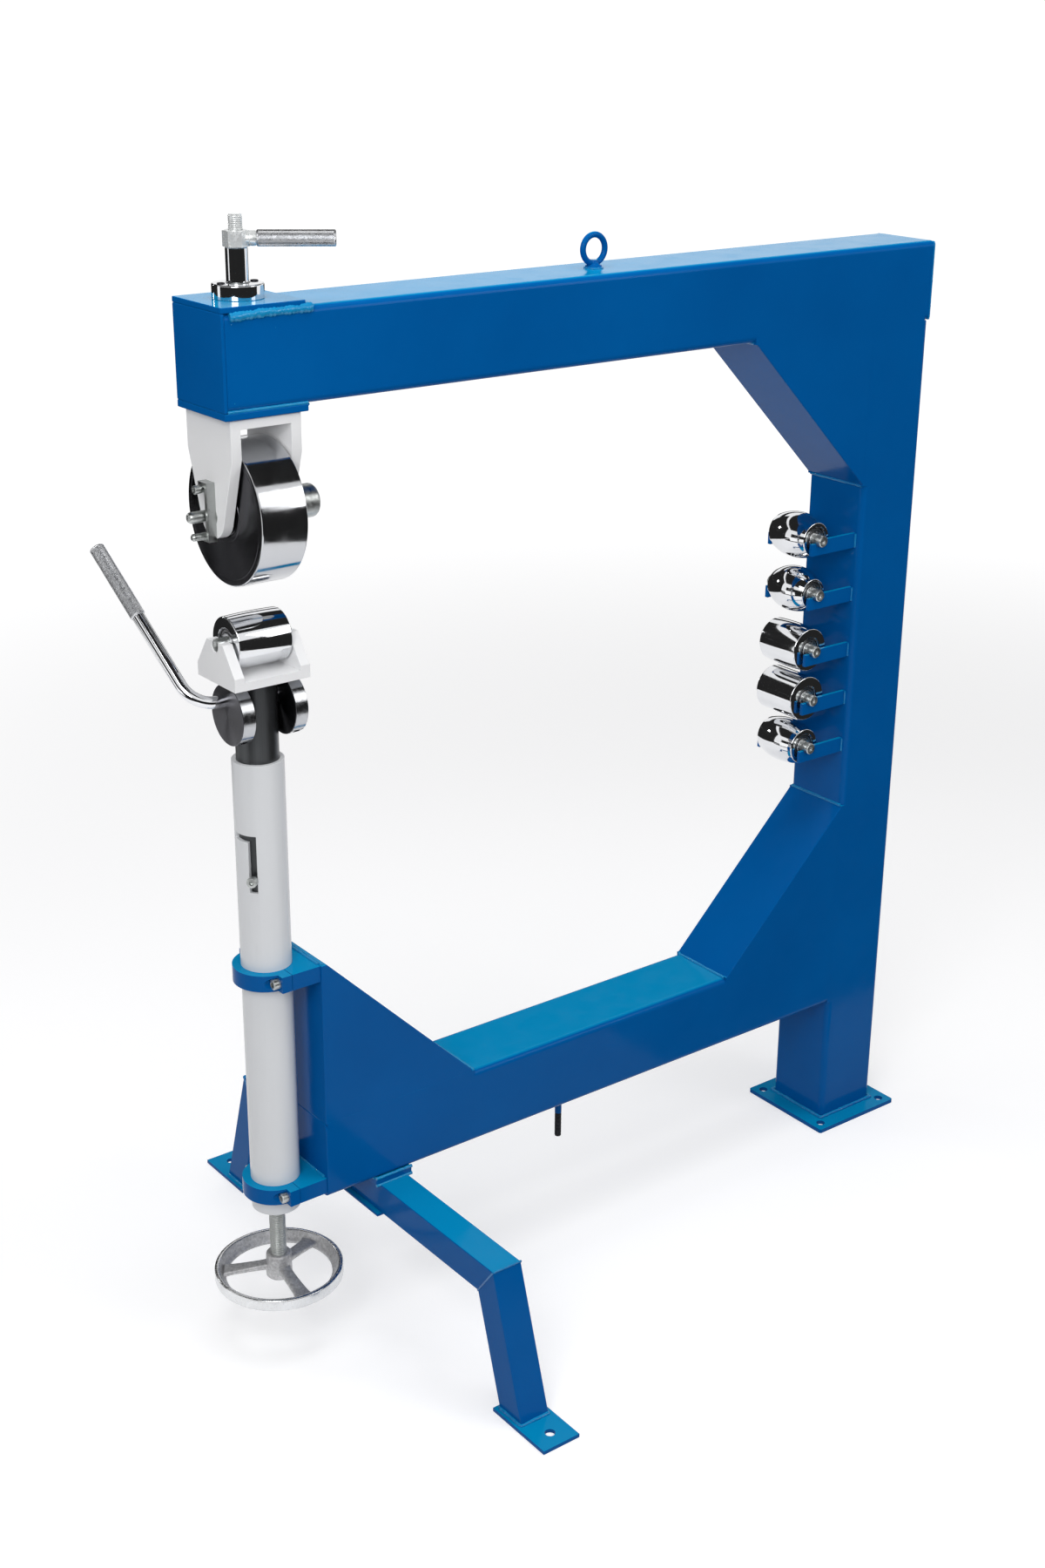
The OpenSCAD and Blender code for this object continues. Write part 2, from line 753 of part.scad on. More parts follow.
module guide_screw() {
    out = outer_d / 2 + free;
    color(zinc) translate([wx, 0, guide_z]) rotate(slot_dir) {
        rod_x(6.4, column_d / 2 - column_t, out, 0, 0);
        difference() {
            rod_x(12, out, out + 7, 0, 0);
            translate([out + 3.5, 0, 0]) rotate([0, 90, 0]) cylinder(d = 6, h = 5, $fn = 6);
        }
    }
}

module lift_screw() {
    color(zinc) translate([wx, 0, 0]) {
        translate([0, 0, hub_low]) cylinder(d = screw_d, h = column_low - free - hub_low);
        translate([0, 0, hub_low]) cylinder(d = screw_d - 4, h = column_low + 14 - hub_low);
        translate([0, 0, hub_low - 12]) cylinder(d = 12, h = 14);
    }
}

function spoke_dirs() = [25, 145, 265];

module handwheel() {
    r = hand_d / 2;
    color(cast) translate([wx, 0, 0]) difference() {
        union() {
            translate([0, 0, hand_z - rim_h]) rotate_extrude($fn = 96)
                polygon([[r - 14, 0], [r - 1.5, 0], [r, 1.5], [r, rim_h - 1], [r - 1, rim_h],
                         [r - 5, rim_h], [r - 6, rim_h - 1], [r - 12, 4]]);
            for (a = spoke_dirs()) rotate(a) plate_xz(-6, 6)
                polygon([[6, hub_top - 14], [r - 10, hand_z - 7], [r - 10, hand_z - 13], [6, hub_top - 22]]);
            translate([0, 0, hub_low]) cylinder(d = hub_d, h = hub_top - hub_low);
        }
        translate([0, 0, hub_low - 1]) cylinder(d = screw_d, h = hub_top - hub_low + 2);
    }
}

module handwheel_nut() {
    color(zinc) translate([wx, 0, hub_low - 10]) difference() {
        cylinder(d = 19 / cos(30), h = 10, $fn = 6);
        translate([0, 0, -1]) cylinder(d = 12, h = 12);
    }
}

// Cam lift

// A point in the lever's own plane: out along -X and up the lever's slope
module in_lever_plane() {
    translate([wx, 0, rod_z]) rotate([lever_up, 0, 0]) children();
}

lever_start = cam_x + cam_t + 7;         // where the rod's bend begins
joint_lap = 2;                           // how far the rod's core runs across each end of its bend

module cam_lever() {
    color(chrome) {
        rod_x(rod_d, wx - lever_start, wx + cam_x + cam_t, 0, rod_z);
        rod_x(rod_d - 4, wx - lever_start - joint_lap, wx - lever_start + joint_lap, 0, rod_z);
        in_lever_plane() translate([-lever_start, lever_r, 0]) rotate(-90 - lever_bend)
            rotate_extrude(angle = lever_bend) translate([lever_r, 0]) circle(d = rod_d);
        in_lever_plane() lever_end() rotate([0, 90, 0])
            cylinder(d = rod_d, h = lever_l + lever_grip_l / 2);
        in_lever_plane() lever_end() translate([-joint_lap, 0, 0]) rotate([0, 90, 0])
            cylinder(d = rod_d - 4, h = 2 * joint_lap);
    }
}

// Places its children at the end of the bend, along the lever's straight part
module lever_end() {
    translate([-lever_start - lever_r * sin(lever_bend), lever_r * (1 - cos(lever_bend)), 0])
        rotate(180 - lever_bend) children();
}

module lever_grip() {
    color(chrome) in_lever_plane() lever_end() rotate([0, 90, 0]) difference() {
        translate([0, 0, lever_l]) union() {
            translate([0, 0, 0.8]) cylinder(d = lever_grip_d, h = lever_grip_l - 1.6);
            cylinder(d = lever_grip_d - 1.6, h = lever_grip_l);
        }
        cylinder(d = rod_d, h = lever_l + lever_grip_l / 2);
    }
}

module cam_discs() {
    e = [0, -cam_e * sin(cam_a), -cam_e * cos(cam_a)];
    color(steel) for (x = [-cam_x - cam_t, cam_x]) difference() {
        translate([wx + x, 0, rod_z]) translate(e) rotate([0, 90, 0])
            rotate_extrude($fn = 96) polygon([[0, 0], [cam_d / 2 - 0.6, 0], [cam_d / 2, 0.6],
                [cam_d / 2, cam_t - 0.6], [cam_d / 2 - 0.6, cam_t], [0, cam_t]]);
        rod_x(rod_d, wx + x - 1, wx + x + cam_t + 1, 0, rod_z);
        translate([wx + x + cam_t / 2, 0, rod_z]) rotate([180 - cam_a, 0, 0])
            cylinder(d = 8, h = cam_e + cam_d);
    }
    color(zinc) for (x = [-cam_x - cam_t, cam_x])
        translate([wx + x + cam_t / 2, 0, rod_z]) rotate([180 - cam_a, 0, 0])
            translate([0, 0, rod_d / 2 + 1]) difference() {
                cylinder(d = 8, h = cam_e + cam_d / 2 - rod_d / 2 - 3);
                translate([0, 0, cam_e + cam_d / 2 - rod_d / 2 - 7]) cylinder(d = 4.6, h = 9, $fn = 6);
            }
}

// Anvil yoke

// A cheek in (y, z): a low trapezoid with an open notch for the axle
module anvil_cheek_outline() {
    w = anvil_yoke_w / 2;
    top = anvil_z + 4;
    difference() {
        polygon([[-w, base_z], [w, base_z], [w, base_z + 15], [17, top], [-17, top],
                 [-w, base_z + 15]]);
        translate([0, anvil_z]) circle(d = pin_d);
        translate([-pin_d / 2, anvil_z]) square([pin_d, 20]);
    }
}

module anvil_yoke() {
    stem_d = column_d - 2 * column_t - 2 * run;
    travel = 21;
    color(white) {
        for (x = [-anvil_half, anvil_half - anvil_cheek_t])
            plate_yz(wx + x, wx + x + anvil_cheek_t) anvil_cheek_outline();
        translate([wx - anvil_half + 1, -anvil_yoke_w / 2, base_z])
            cube([2 * anvil_half - 2, anvil_yoke_w, anvil_base_t]);
        translate([wx, 0, 0]) difference() {
            translate([0, 0, rod_z - stem_drop])
                cylinder(d = stem_d, h = base_z - rod_z + stem_drop + 1);
            translate([-column_d / 2, -rod_d / 2 - free, rod_z - rod_d / 2 - free - travel])
                cube([column_d, rod_d + 2 * free, rod_d + 2 * free + travel]);
        }
    }
}

module working_axle() {
    color(zinc) rod_x(pin_d, wx - anvil_half + 1, wx + anvil_half - 1, 0, anvil_z);
}

// One anvil along Z: a bored roller whose face is an arc that falls by crown
module anvil_body(crown) {
    h = anvil_l / 2;
    r = anvil_d / 2;
    edge = 1.5;
    flat = h - edge;
    arc_r = crown > 0 ? (flat * flat + crown * crown) / (2 * crown) : 0;
    n = crown > 0 ? 12 : 1;
    face = [for (i = [-n:n]) let (t = flat * i / n)
        [crown > 0 ? r - arc_r + sqrt(arc_r * arc_r - t * t) : r, t]];
    end_r = r - crown - edge;
    bore = pin_d / 2 + run;
    rotate_extrude($fn = 96) polygon(concat(
        [[bore, -h + 1], [11, -h + 1], [11, -h + 3], [17, -h + 3], [17.5, -h], [end_r, -h]],
        face, [[end_r, h], [17.5, h], [17, h - 3], [11, h - 3], [11, h - 1], [bore, h - 1]]));
}

module working_anvil() {
    color(chrome) translate([wx, 0, anvil_z]) rotate([0, 90, 0]) anvil_body(0.8);
}

// Spare anvils, from the lowest to the highest

function crowns() = [6, 0, 1.2, 10, 7.5];

module spare_axle(i) {
    z = rack_z + rack_steps[i];
    color(zinc) rod_y(pin_d, -rack_y - rack_t - 6, rack_y + rack_t + 6, rack_x, z);
}

module spare_anvil(i) {
    color(chrome) translate([rack_x, 0, rack_z + rack_steps[i]]) rotate([90, 0, 0])
        anvil_body(crowns()[i]);
}

module spare_axle_1() { spare_axle(0); }
module spare_axle_2() { spare_axle(1); }
module spare_axle_3() { spare_axle(2); }
module spare_axle_4() { spare_axle(3); }
module spare_axle_5() { spare_axle(4); }
module spare_anvil_1() { spare_anvil(0); }
module spare_anvil_2() { spare_anvil(1); }
module spare_anvil_3() { spare_anvil(2); }
module spare_anvil_4() { spare_anvil(3); }
module spare_anvil_5() { spare_anvil(4); }

rear_foot_plate();
rear_column();
lower_arm();
upper_arm();
arm_end_cap();
lower_gusset();
upper_gusset();
front_gusset();
head_top_plate();
head_bottom_plate();
head_front_plate();
spindle_bush();
spindle_collar();
lifting_eye();
rack_arms();
leg_saddle_plate();
leg_splice_plate();
leg_cross_tube();
near_leg();
far_leg();
near_foot();
far_foot();
underside_stud();
outer_column();
column_nut();
upper_clamp_block();
upper_clamp_cap();
lower_clamp_block();
lower_clamp_cap();
clamp_screws();
spindle();
spindle_sleeve();
upper_yoke();
upper_axle();
axle_keeper();
keeper_pins();
upper_wheel();
lock_nut();
lock_grip();
inner_column();
guide_screw();
lift_screw();
handwheel();
handwheel_nut();
cam_lever();
lever_grip();
cam_discs();
anvil_yoke();
working_axle();
working_anvil();
spare_axle_1();
spare_axle_2();
spare_axle_3();
spare_axle_4();
spare_axle_5();
spare_anvil_1();
spare_anvil_2();
spare_anvil_3();
spare_anvil_4();
spare_anvil_5();
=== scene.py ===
"""English wheel: the looks of every piece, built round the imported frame."""

import math

import bmesh
import bpy
from bpy.props import (
    FloatProperty,
    FloatVectorProperty,
    IntProperty,
    PointerProperty,
)
from mathutils import Matrix, Vector


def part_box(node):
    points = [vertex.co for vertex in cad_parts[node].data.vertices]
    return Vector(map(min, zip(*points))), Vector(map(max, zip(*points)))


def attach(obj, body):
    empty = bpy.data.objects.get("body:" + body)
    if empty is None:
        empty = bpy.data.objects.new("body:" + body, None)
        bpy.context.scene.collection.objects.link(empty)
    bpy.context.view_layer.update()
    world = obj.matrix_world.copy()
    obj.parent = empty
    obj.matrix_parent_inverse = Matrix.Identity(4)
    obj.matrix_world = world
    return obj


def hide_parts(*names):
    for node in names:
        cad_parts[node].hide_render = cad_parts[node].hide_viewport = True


bl_info = {
    "name": "English Wheel",
    "version": (1, 0, 0),
    "blender": (4, 5, 0),
    "location": "3D View > Sidebar > English Wheel",
    "description": "Builds the painted frame, wheels, anvils and lift of an english wheel",
    "category": "Object",
}

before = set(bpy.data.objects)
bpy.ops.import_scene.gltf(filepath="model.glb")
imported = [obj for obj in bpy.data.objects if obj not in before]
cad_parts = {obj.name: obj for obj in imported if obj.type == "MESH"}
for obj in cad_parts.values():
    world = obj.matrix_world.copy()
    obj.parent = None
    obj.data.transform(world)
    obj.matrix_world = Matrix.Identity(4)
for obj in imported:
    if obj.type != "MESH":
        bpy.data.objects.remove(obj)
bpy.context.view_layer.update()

TURN = 2 * math.pi
X, Y, Z = Vector((1, 0, 0)), Vector((0, 1, 0)), Vector((0, 0, 1))
SPARES = (1, 2, 3, 4, 5)

# Axis of the spindle, the columns and the handwheel, and the height of the cam's rod
WHEEL_X = -0.936
ROD_Z = 0.829

# Half the side of the frame's tube, and radii that are used more than once
TUBE_HALF = 0.05
SHANK_RADIUS = 0.012
THREAD_RADIUS = 0.0075
STUD_RADIUS = 0.0045
BOLT_RADIUS = 0.004


# Properties

def length(name, description, default):
    """A length in metres that a user may change."""
    return FloatProperty(name=name, description=description, default=default,
                         min=0.0, precision=5, unit="LENGTH")


def colour(name, description, default):
    """A linear colour that a user may change."""
    return FloatVectorProperty(name=name, description=description, default=default,
                               min=0.0, max=1.0, size=3, subtype="COLOR")


class EnglishWheelSizes(bpy.types.PropertyGroup):
    """Sizes of the details that the solids leave plain."""

    plate_edge: length("Plate edge", "Radius that paint gives a plate's edge", 0.0013)
    fine_edge: length("Fine edge", "Edge radius of small machined pieces", 0.0006)
    bead: length("Weld bead", "Radius of an ordinary weld bead", 0.0026)
    fat_bead: length("Fat bead", "Radius of the bead under the head's top plate", 0.0052)
    bead_step: length("Bead step", "Distance between two ripples of a bead", 0.0045)
    drop: length("Spatter", "Largest radius of a drop of weld spatter", 0.0009)
    lift_pitch: length("Lift pitch", "Pitch of the lift screw", 0.0025)
    spindle_pitch: length("Spindle pitch", "Pitch of the spindle's thread", 0.002)
    lock_knurl: length("Lock knurl", "Depth of the lock handle's knurl", 0.0005)
    lever_knurl: length("Lever knurl", "Depth of the lever grip's knurl", 0.00035)
    knurl_cells: IntProperty(name="Knurl cells", description="Diamonds round a grip",
                             default=34, min=8, max=80)
    steps: IntProperty(name="Turned steps", description="Facets round a turned piece",
                       default=96, min=24, max=192)
    crowns: FloatVectorProperty(
        name="Crowns", description="Fall of each spare anvil's face, lowest anvil first",
        size=5, default=(0.006, 0.0, 0.0012, 0.010, 0.0075), unit="LENGTH")
    working_crown: length("Working crown", "Fall of the working anvil's face", 0.0008)


class EnglishWheelColours(bpy.types.PropertyGroup):
    """Colours of the finishes."""

    blue: colour("Blue enamel", "Frame paint", (0.0004, 0.103, 0.355))
    deep_blue: colour("Deep blue", "Frame paint where it lies thicker", (0.0003, 0.088, 0.315))
    # Painted light: a lighter, more cyan blue on faces that look up, standing in for the light
    # from above
    painted_light_top_blue: colour("Top blue", "Frame paint on faces that look up", (0.001, 0.24, 0.49))
    # Painted light: the beads' blue is lighter than the frame's, for the light and reflection
    # their rounded tops catch
    painted_light_weld_blue: colour("Weld blue", "Frame paint on the weld beads", (0.008, 0.26, 0.52))
    white: colour("White enamel", "Paint of the yokes", (0.90, 0.905, 0.915))
    # Painted shade: the outer column's white is a darker copy of the yokes' white, standing in
    # for the weaker light it gets
    shaded_tube_white: colour("Tube white", "Paint of the outer column", (0.74, 0.755, 0.775))
    zinc: colour("Zinc", "Plated fasteners and axles", (0.55, 0.57, 0.56))
    chrome: colour("Chrome", "Anvils, collar, sleeve and lever", (0.80, 0.81, 0.83))
    steel: colour("Ground steel", "Running face of the upper wheel", (0.62, 0.63, 0.65))
    # Painted reflection: far darker than polished steel is, so the wheel's and cams' turned sides
    # look dark as if reflecting a dark room
    dark_steel: colour("Dark steel", "Sides of the wheel and cams", (0.10, 0.10, 0.11))
    column: colour("Column steel", "Inner column", (0.10, 0.105, 0.11))
    cast: colour("Cast aluminium", "Handwheel", (0.70, 0.70, 0.71))


def sizes():
    return bpy.context.scene.english_wheel_sizes


def colours():
    return bpy.context.scene.english_wheel_colours


# Node wiring

def add(tree, kind, inputs=None, **settings):
    """Adds a node, sets its properties, and links or fills its inputs."""
    made = tree.nodes.new(kind)
    for key, value in settings.items():
        setattr(made, key, value)
    for key, value in (inputs or {}).items():
        if isinstance(value, bpy.types.NodeSocket):
            tree.links.new(value, made.inputs[key])
        else:
            made.inputs[key].default_value = value
    return made


def maths(tree, operation, *values):
    """One Math node of a shader or a geometry tree; returns its value."""
    inputs = {i: v for i, v in enumerate(values)}
    return add(tree, "ShaderNodeMath", inputs, operation=operation).outputs[0]


def rgba(c):
    return (c[0], c[1], c[2], 1.0)


def object_point(tree, centre=(0, 0, 0), turn=(0, 0, 0), scale=(1, 1, 1)):
    """Object coordinates, moved so that a pattern sits on its piece."""
    where = add(tree, "ShaderNodeTexCoord")
    return add(tree, "ShaderNodeMapping",
               {"Vector": where.outputs["Object"], "Location": tuple(-c for c in centre),
                "Rotation": turn, "Scale": scale}, vector_type="POINT").outputs[0]


def noise(tree, point, scale, detail=3.0, roughness=0.55):
    return add(tree, "ShaderNodeTexNoise",
               {"Vector": point, "Scale": scale, "Detail": detail,
                "Roughness": roughness}).outputs["Fac"]


def spread(tree, value, low, high):
    """Stretches a 0.3 to 0.7 noise over the range low to high."""
    return add(tree, "ShaderNodeMapRange",
               {"Value": value, "From Min": 0.3, "From Max": 0.7,
                "To Min": low, "To Max": high}).outputs["Result"]


def mixed(tree, factor, a, b):
    made = add(tree, "ShaderNodeMix", {0: factor, 6: a, 7: b}, data_type="RGBA")
    return made.outputs[2]


def bump(tree, height, strength, distance, normal=None):
    inputs = {"Height": height, "Strength": strength, "Distance": distance}
    if normal is not None:
        inputs["Normal"] = normal
    return add(tree, "ShaderNodeBump", inputs).outputs[0]


def material(name, **plain):
    """A new material with its Principled shader; plain values go on its own sockets."""
    made = bpy.data.materials.new(name)
    made.use_nodes = True
    tree = made.node_tree
    shader = tree.nodes["Principled BSDF"]
    for key, value in plain.items():
        shader.inputs[key.replace("_", " ")].default_value = value
    return made, tree, shader


def feed(tree, shader, **sockets):
    for key, value in sockets.items():
        tree.links.new(value, shader.inputs[key.replace("_", " ")])


# Finishes

BRIGHT_ZINC = (0.88, 0.90, 0.90)
BLACK_OXIDE = (0.035, 0.035, 0.04)
BEARING_SHIELD = (0.30, 0.30, 0.31)
MACHINED_ALUMINIUM = (0.78, 0.79, 0.80)
GROUND_RIM = (0.55, 0.56, 0.58)

# Angle that a wave texture of scale 1 runs through in a metre
WAVE_RADIANS = 20.0

FINISH = {}


def shade(c, share):
    """A colour times a share, darker below 1 and lighter above it."""
    return tuple(v * share for v in c)


def enamel(name, main, deep, roughness, ior, top=None, relief=1.0):
    """Brushed-on gloss enamel: slow colour change, faint orange peel, small sags, and a painted
    light colour on faces that look up.
    """
    made, tree, shader = material(name, Metallic=0.0, IOR=ior)
    point = object_point(tree)
    cloud = noise(tree, point, 5.0, 4.0)
    paint = mixed(tree, spread(tree, cloud, 0.0, 1.0), rgba(main), rgba(deep))
    # Painted light: faces that look up take the top colour, lighter as if lit from above
    if top is not None:
        way = add(tree, "ShaderNodeTexCoord").outputs["Normal"]
        rise = add(tree, "ShaderNodeSeparateXYZ", {0: way}).outputs["Z"]
        painted_top_light_mask = add(tree, "ShaderNodeMapRange",
                       {"Value": rise, "From Min": 0.8, "From Max": 0.98}).outputs["Result"]
        paint = mixed(tree, painted_top_light_mask, paint, rgba(top))
    feed(tree, shader, Base_Color=paint,
         Roughness=spread(tree, noise(tree, point, 38.0), roughness - 0.04 * relief,
                          roughness + 0.06 * relief))
    peel = noise(tree, point, 420.0, 2.0)
    sag = noise(tree, object_point(tree, scale=(1, 1, 0.45)), 26.0, 3.0)
    rough = bump(tree, peel, 0.08 * relief, 0.0003)
    feed(tree, shader, Normal=bump(tree, sag, 0.10 * relief, 0.002, rough))
    return made


def turned(name, main, dark, roughness, centre, axis, pitch, metallic=1.0, depth=0.0,
           sheen=0.0):
    """Turned metal: rings about an axis in its colour, and in its relief or its sheen."""
    made, tree, shader = material(name, Metallic=metallic, Anisotropic=sheen)
    if sheen:
        radial = add(tree, "ShaderNodeTangent", direction_type="RADIAL", axis=axis)
        feed(tree, shader, Tangent=radial.outputs[0])
    point = object_point(tree, centre)
    rings = add(tree, "ShaderNodeTexWave",
                {"Vector": point, "Scale": TURN / pitch / WAVE_RADIANS, "Distortion": 0.6,
                 "Detail": 3.0, "Detail Scale": 4.0}, wave_type="RINGS",
                rings_direction=axis).outputs["Fac"]
    broad = noise(tree, point, 9.0, 2.0)
    feed(tree, shader,
         Base_Color=mixed(tree, maths(tree, "MULTIPLY", rings, spread(tree, broad, 0.4, 1.0)),
                          rgba(main), rgba(dark)))
    if sheen:
        shader.inputs["Roughness"].default_value = roughness
    else:
        feed(tree, shader, Normal=bump(tree, rings, depth, 0.0001), Roughness=spread(
            tree, noise(tree, point, 60.0), roughness, roughness + 0.1))
    return made


def plated(name, main, roughness, grain, depth, mottle=0.82, metallic=1.0):
    """Plated or polished metal: faint mottling and micro scratches."""
    made, tree, shader = material(name, Metallic=metallic)
    point = object_point(tree)
    feed(tree, shader,
         Base_Color=mixed(tree, spread(tree, noise(tree, point, 30.0, 5.0), 0.0, 1.0),
                          rgba(main), rgba(shade(main, mottle))),
         Roughness=spread(tree, noise(tree, point, grain), roughness, roughness * 1.9 + 0.02),
         Normal=bump(tree, noise(tree, point, grain * 3.0, 2.0), depth, 0.0002))
    return made


def cast_finish(name, main):
    """Rough sand-cast aluminium."""
    made, tree, shader = material(name, Metallic=0.85)
    point = object_point(tree)
    coarse = noise(tree, point, 260.0, 6.0, 0.7)
    feed(tree, shader,
         Base_Color=mixed(tree, spread(tree, coarse, 0.0, 1.0), rgba(shade(main, 0.5)),
                          rgba(main)),
         Roughness=spread(tree, noise(tree, point, 120.0), 0.38, 0.62),
         Normal=bump(tree, coarse, 0.75, 0.0012))
    return made


def make_finishes():
    c = colours()
    wheel = tuple(middle("upper_wheel"))
    cam_rod = (WHEEL_X, 0, ROD_Z)
    spindle = (WHEEL_X, 0, 0)
    # The frame's blue carries painted light on its upward faces
    FINISH["blue"] = enamel("blue_enamel", c.blue, c.deep_blue, 0.12, 1.14, c.painted_light_top_blue)
    # The weld beads' lighter blue is painted light and painted reflection, not a different paint
    FINISH["weld"] = enamel("painted_weld", c.painted_light_weld_blue, c.blue, 0.14, 1.45, c.painted_light_weld_blue)
    FINISH["white"] = enamel("white_enamel", c.white, shade(c.white, 0.98), 0.30, 1.4,
                             relief=0.3)
    # The outer column gets the darker, shaded copy of the white enamel as painted shade
    FINISH["tube"] = enamel("shaded_white_tube_enamel", c.shaded_tube_white, shade(c.shaded_tube_white, 0.985),
                            0.26, 1.4, relief=0.2)
    FINISH["bright_zinc"] = plated("bright_zinc", BRIGHT_ZINC, 0.16, 220.0, 0.1, metallic=0.45)
    FINISH["chrome"] = plated("bright_chrome", c.chrome, 0.035, 200.0, 0.015, mottle=0.93)
    for finish, name, main, roughness, grain, depth in (
            ("zinc", "zinc_plate", c.zinc, 0.26, 220.0, 0.2),
            ("knurl", "knurled_steel", shade(c.chrome, 0.92), 0.2, 300.0, 0.1),
            ("oxide", "black_oxide", BLACK_OXIDE, 0.32, 300.0, 0.1),
            ("shield", "bearing_shield", BEARING_SHIELD, 0.24, 300.0, 0.1),
            ("machined", "machined_aluminium", MACHINED_ALUMINIUM, 0.16, 240.0, 0.1),
            ("cam_rim", "cam_rim", GROUND_RIM, 0.12, 260.0, 0.08)):
        FINISH[finish] = plated(name, main, roughness, grain, depth)
    FINISH["cast"] = cast_finish("rough_cast_aluminium", c.cast)
    FINISH["column"] = turned("column_steel", c.column, shade(c.column, 0.6), 0.30, spindle,
                              "Z", 0.0006, metallic=0.9, depth=0.1)
    # The wheel's and the cams' sides take the darkened steel colour, a painted dark reflection
    FINISH["wheel_side"] = turned("turned_wheel_side", c.dark_steel, shade(c.dark_steel, 0.6),
                                  0.24, wheel, "X", 0.0008, sheen=0.9)
    FINISH["wheel_face"] = turned("ground_wheel_face", c.steel, shade(c.steel, 0.85), 0.07,
                                  wheel, "X", 0.0006, depth=0.04)
    FINISH["cam_side"] = turned("turned_cam_side", shade(c.dark_steel, 1.2), c.dark_steel,
                                0.28, cam_rod, "X", 0.0008, sheen=0.9)


# Mesh helpers

# Points closer than this are one, and faces nearer than this angle to flat are merged
SAME_POINT = 2e-6
NEARLY_FLAT = math.radians(0.4)


def middle(node):
    """The middle of a CAD node's box."""
    low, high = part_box(node)
    return (low + high) / 2


def to_object(bm, name, finishes, smooth_below=38.0):
    """Turns a bmesh into a linked object with its finishes and clean normals."""
    bmesh.ops.remove_doubles(bm, verts=bm.verts, dist=1e-7)
    mesh = bpy.data.meshes.new(name)
    bm.to_mesh(mesh)
    bm.free()
    piece = bpy.data.objects.new(name, mesh)
    bpy.context.scene.collection.objects.link(piece)
    for finish in finishes:
        mesh.materials.append(FINISH[finish])
    mesh.shade_smooth()
    mesh.set_sharp_from_angle(angle=math.radians(smooth_below))
    return piece


def wall(x0, y0, x1, y1, low, high):
    """Corners of an upright patch between two points of the floor plan."""
    return [(x0, y0, low), (x1, y1, low), (x1, y1, high), (x0, y0, high)]


def level(x0, x1, y0, y1, z):
    """Corners of a patch that lies flat."""
    return [(x0, y0, z), (x1, y0, z), (x1, y1, z), (x0, y1, z)]


def on_axis(z):
    """A point of the axis that the spindle, the columns and the handwheel share."""
    return Vector((WHEEL_X, 0, z))


def level_way(degrees):
    """A level direction, turned from X."""
    a = math.radians(degrees)
    return Vector((math.cos(a), math.sin(a), 0))


def circle(steps):
    """Cosine and sine of equal steps round a circle."""
    return [(math.cos(TURN * k / steps), math.sin(TURN * k / steps)) for k in range(steps)]


def placed_along(point, heading):
    """The placing that puts a bar built along Z at a point, along a heading."""
    return Matrix.Translation(point) @ heading.to_track_quat("Z", "Y").to_matrix().to_4x4()


def settle(piece, body, slot, *nodes):
    """The piece moves with its body and stands for its CAD nodes; the slot is not used."""
    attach(piece, body)
    if nodes:
        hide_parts(*nodes)


def even_shading(piece):
    """Normals weighted by the faces' areas, so that broken edges shade cleanly."""
    even = piece.modifiers.new("even shading", "WEIGHTED_NORMAL")
    even.keep_sharp = True
    even.weight = 80


def dressed(node, name, finishes, edge, segments=3, pick=None, angle=33.0):
    """A merged copy of a CAD node's mesh with broken edges; pick chooses each face's finish."""
    bm = bmesh.new()
    bm.from_mesh(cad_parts[node].data)
    bmesh.ops.remove_doubles(bm, verts=bm.verts, dist=SAME_POINT)
    bmesh.ops.dissolve_limit(bm, angle_limit=NEARLY_FLAT, verts=bm.verts, edges=bm.edges)
    sharp = [e for e in bm.edges if len(e.link_faces) == 2
             and e.calc_face_angle(0.0) > math.radians(angle)]
    if edge > 0:
        bmesh.ops.bevel(bm, geom=sharp, offset=edge, offset_type="OFFSET", segments=segments,
                        profile=0.6, affect="EDGES", clamp_overlap=True)
    for face in bm.faces:
        face.material_index = 0 if pick is None else pick(face.calc_center_median(), face.normal)
    bmesh.ops.triangulate(bm, faces=[f for f in bm.faces if len(f.verts) > 4])
    piece = to_object(bm, name, finishes)
    even_shading(piece)
    return piece


def dress(node, name, finish, edge, body, slot, angle=33.0):
    """A CAD node with broken edges and one finish, as a piece that stands for it."""
    settle(dressed(node, name, [finish], edge, angle=angle), body, slot, node)


def complete(bm, name, finishes, body, slot, *nodes, even=False, smooth_below=38.0):
    """Turns a bmesh into a piece and settles it; even gives it even shading."""
    piece = to_object(bm, name, finishes, smooth_below)
    if even:
        even_shading(piece)
    settle(piece, body, slot, *nodes)


def basis(axis):
    """Two directions square to an axis."""
    side = Z if abs(axis.z) < 0.9 else X
    u = axis.cross(side).normalized()
    return u, axis.cross(u).normalized()


def lathe(bm, centre, axis, profile, steps, finishes=None, closed=True):
    """Turns (radius, along) points about an axis; finishes gives each segment's material."""
    u, v = basis(axis)
    turn = circle(steps)
    rings = []
    for radius, along in profile:
        base = centre + axis * along
        if radius < 1e-9:
            rings.append([bm.verts.new(base)])
            continue
        rings.append([bm.verts.new(base + u * (radius * c) + v * (radius * d))
                      for c, d in turn])
    made = []
    last = len(rings) if closed else len(rings) - 1
    for i in range(last):
        a, b = rings[i], rings[(i + 1) % len(rings)]
        if len(a) == 1 and len(b) == 1:
            continue
        for k in range(steps):
            n = (k + 1) % steps
            corners = [a[k % len(a)], a[n % len(a)], b[n % len(b)], b[k % len(b)]]
            corners = list(dict.fromkeys(corners))
            face = bm.faces.new(corners)
            face.material_index = finishes[i] if finishes else 0
            made.append(face)
    bmesh.ops.recalc_face_normals(bm, faces=made)


def rod(bm, foot, axis, radius, length, steps):
    """A plain round rod from foot along an axis."""
    profile = [(0, 0), (radius, 0), (radius, length), (0, length)]
    lathe(bm, foot, axis, profile, steps, closed=False)


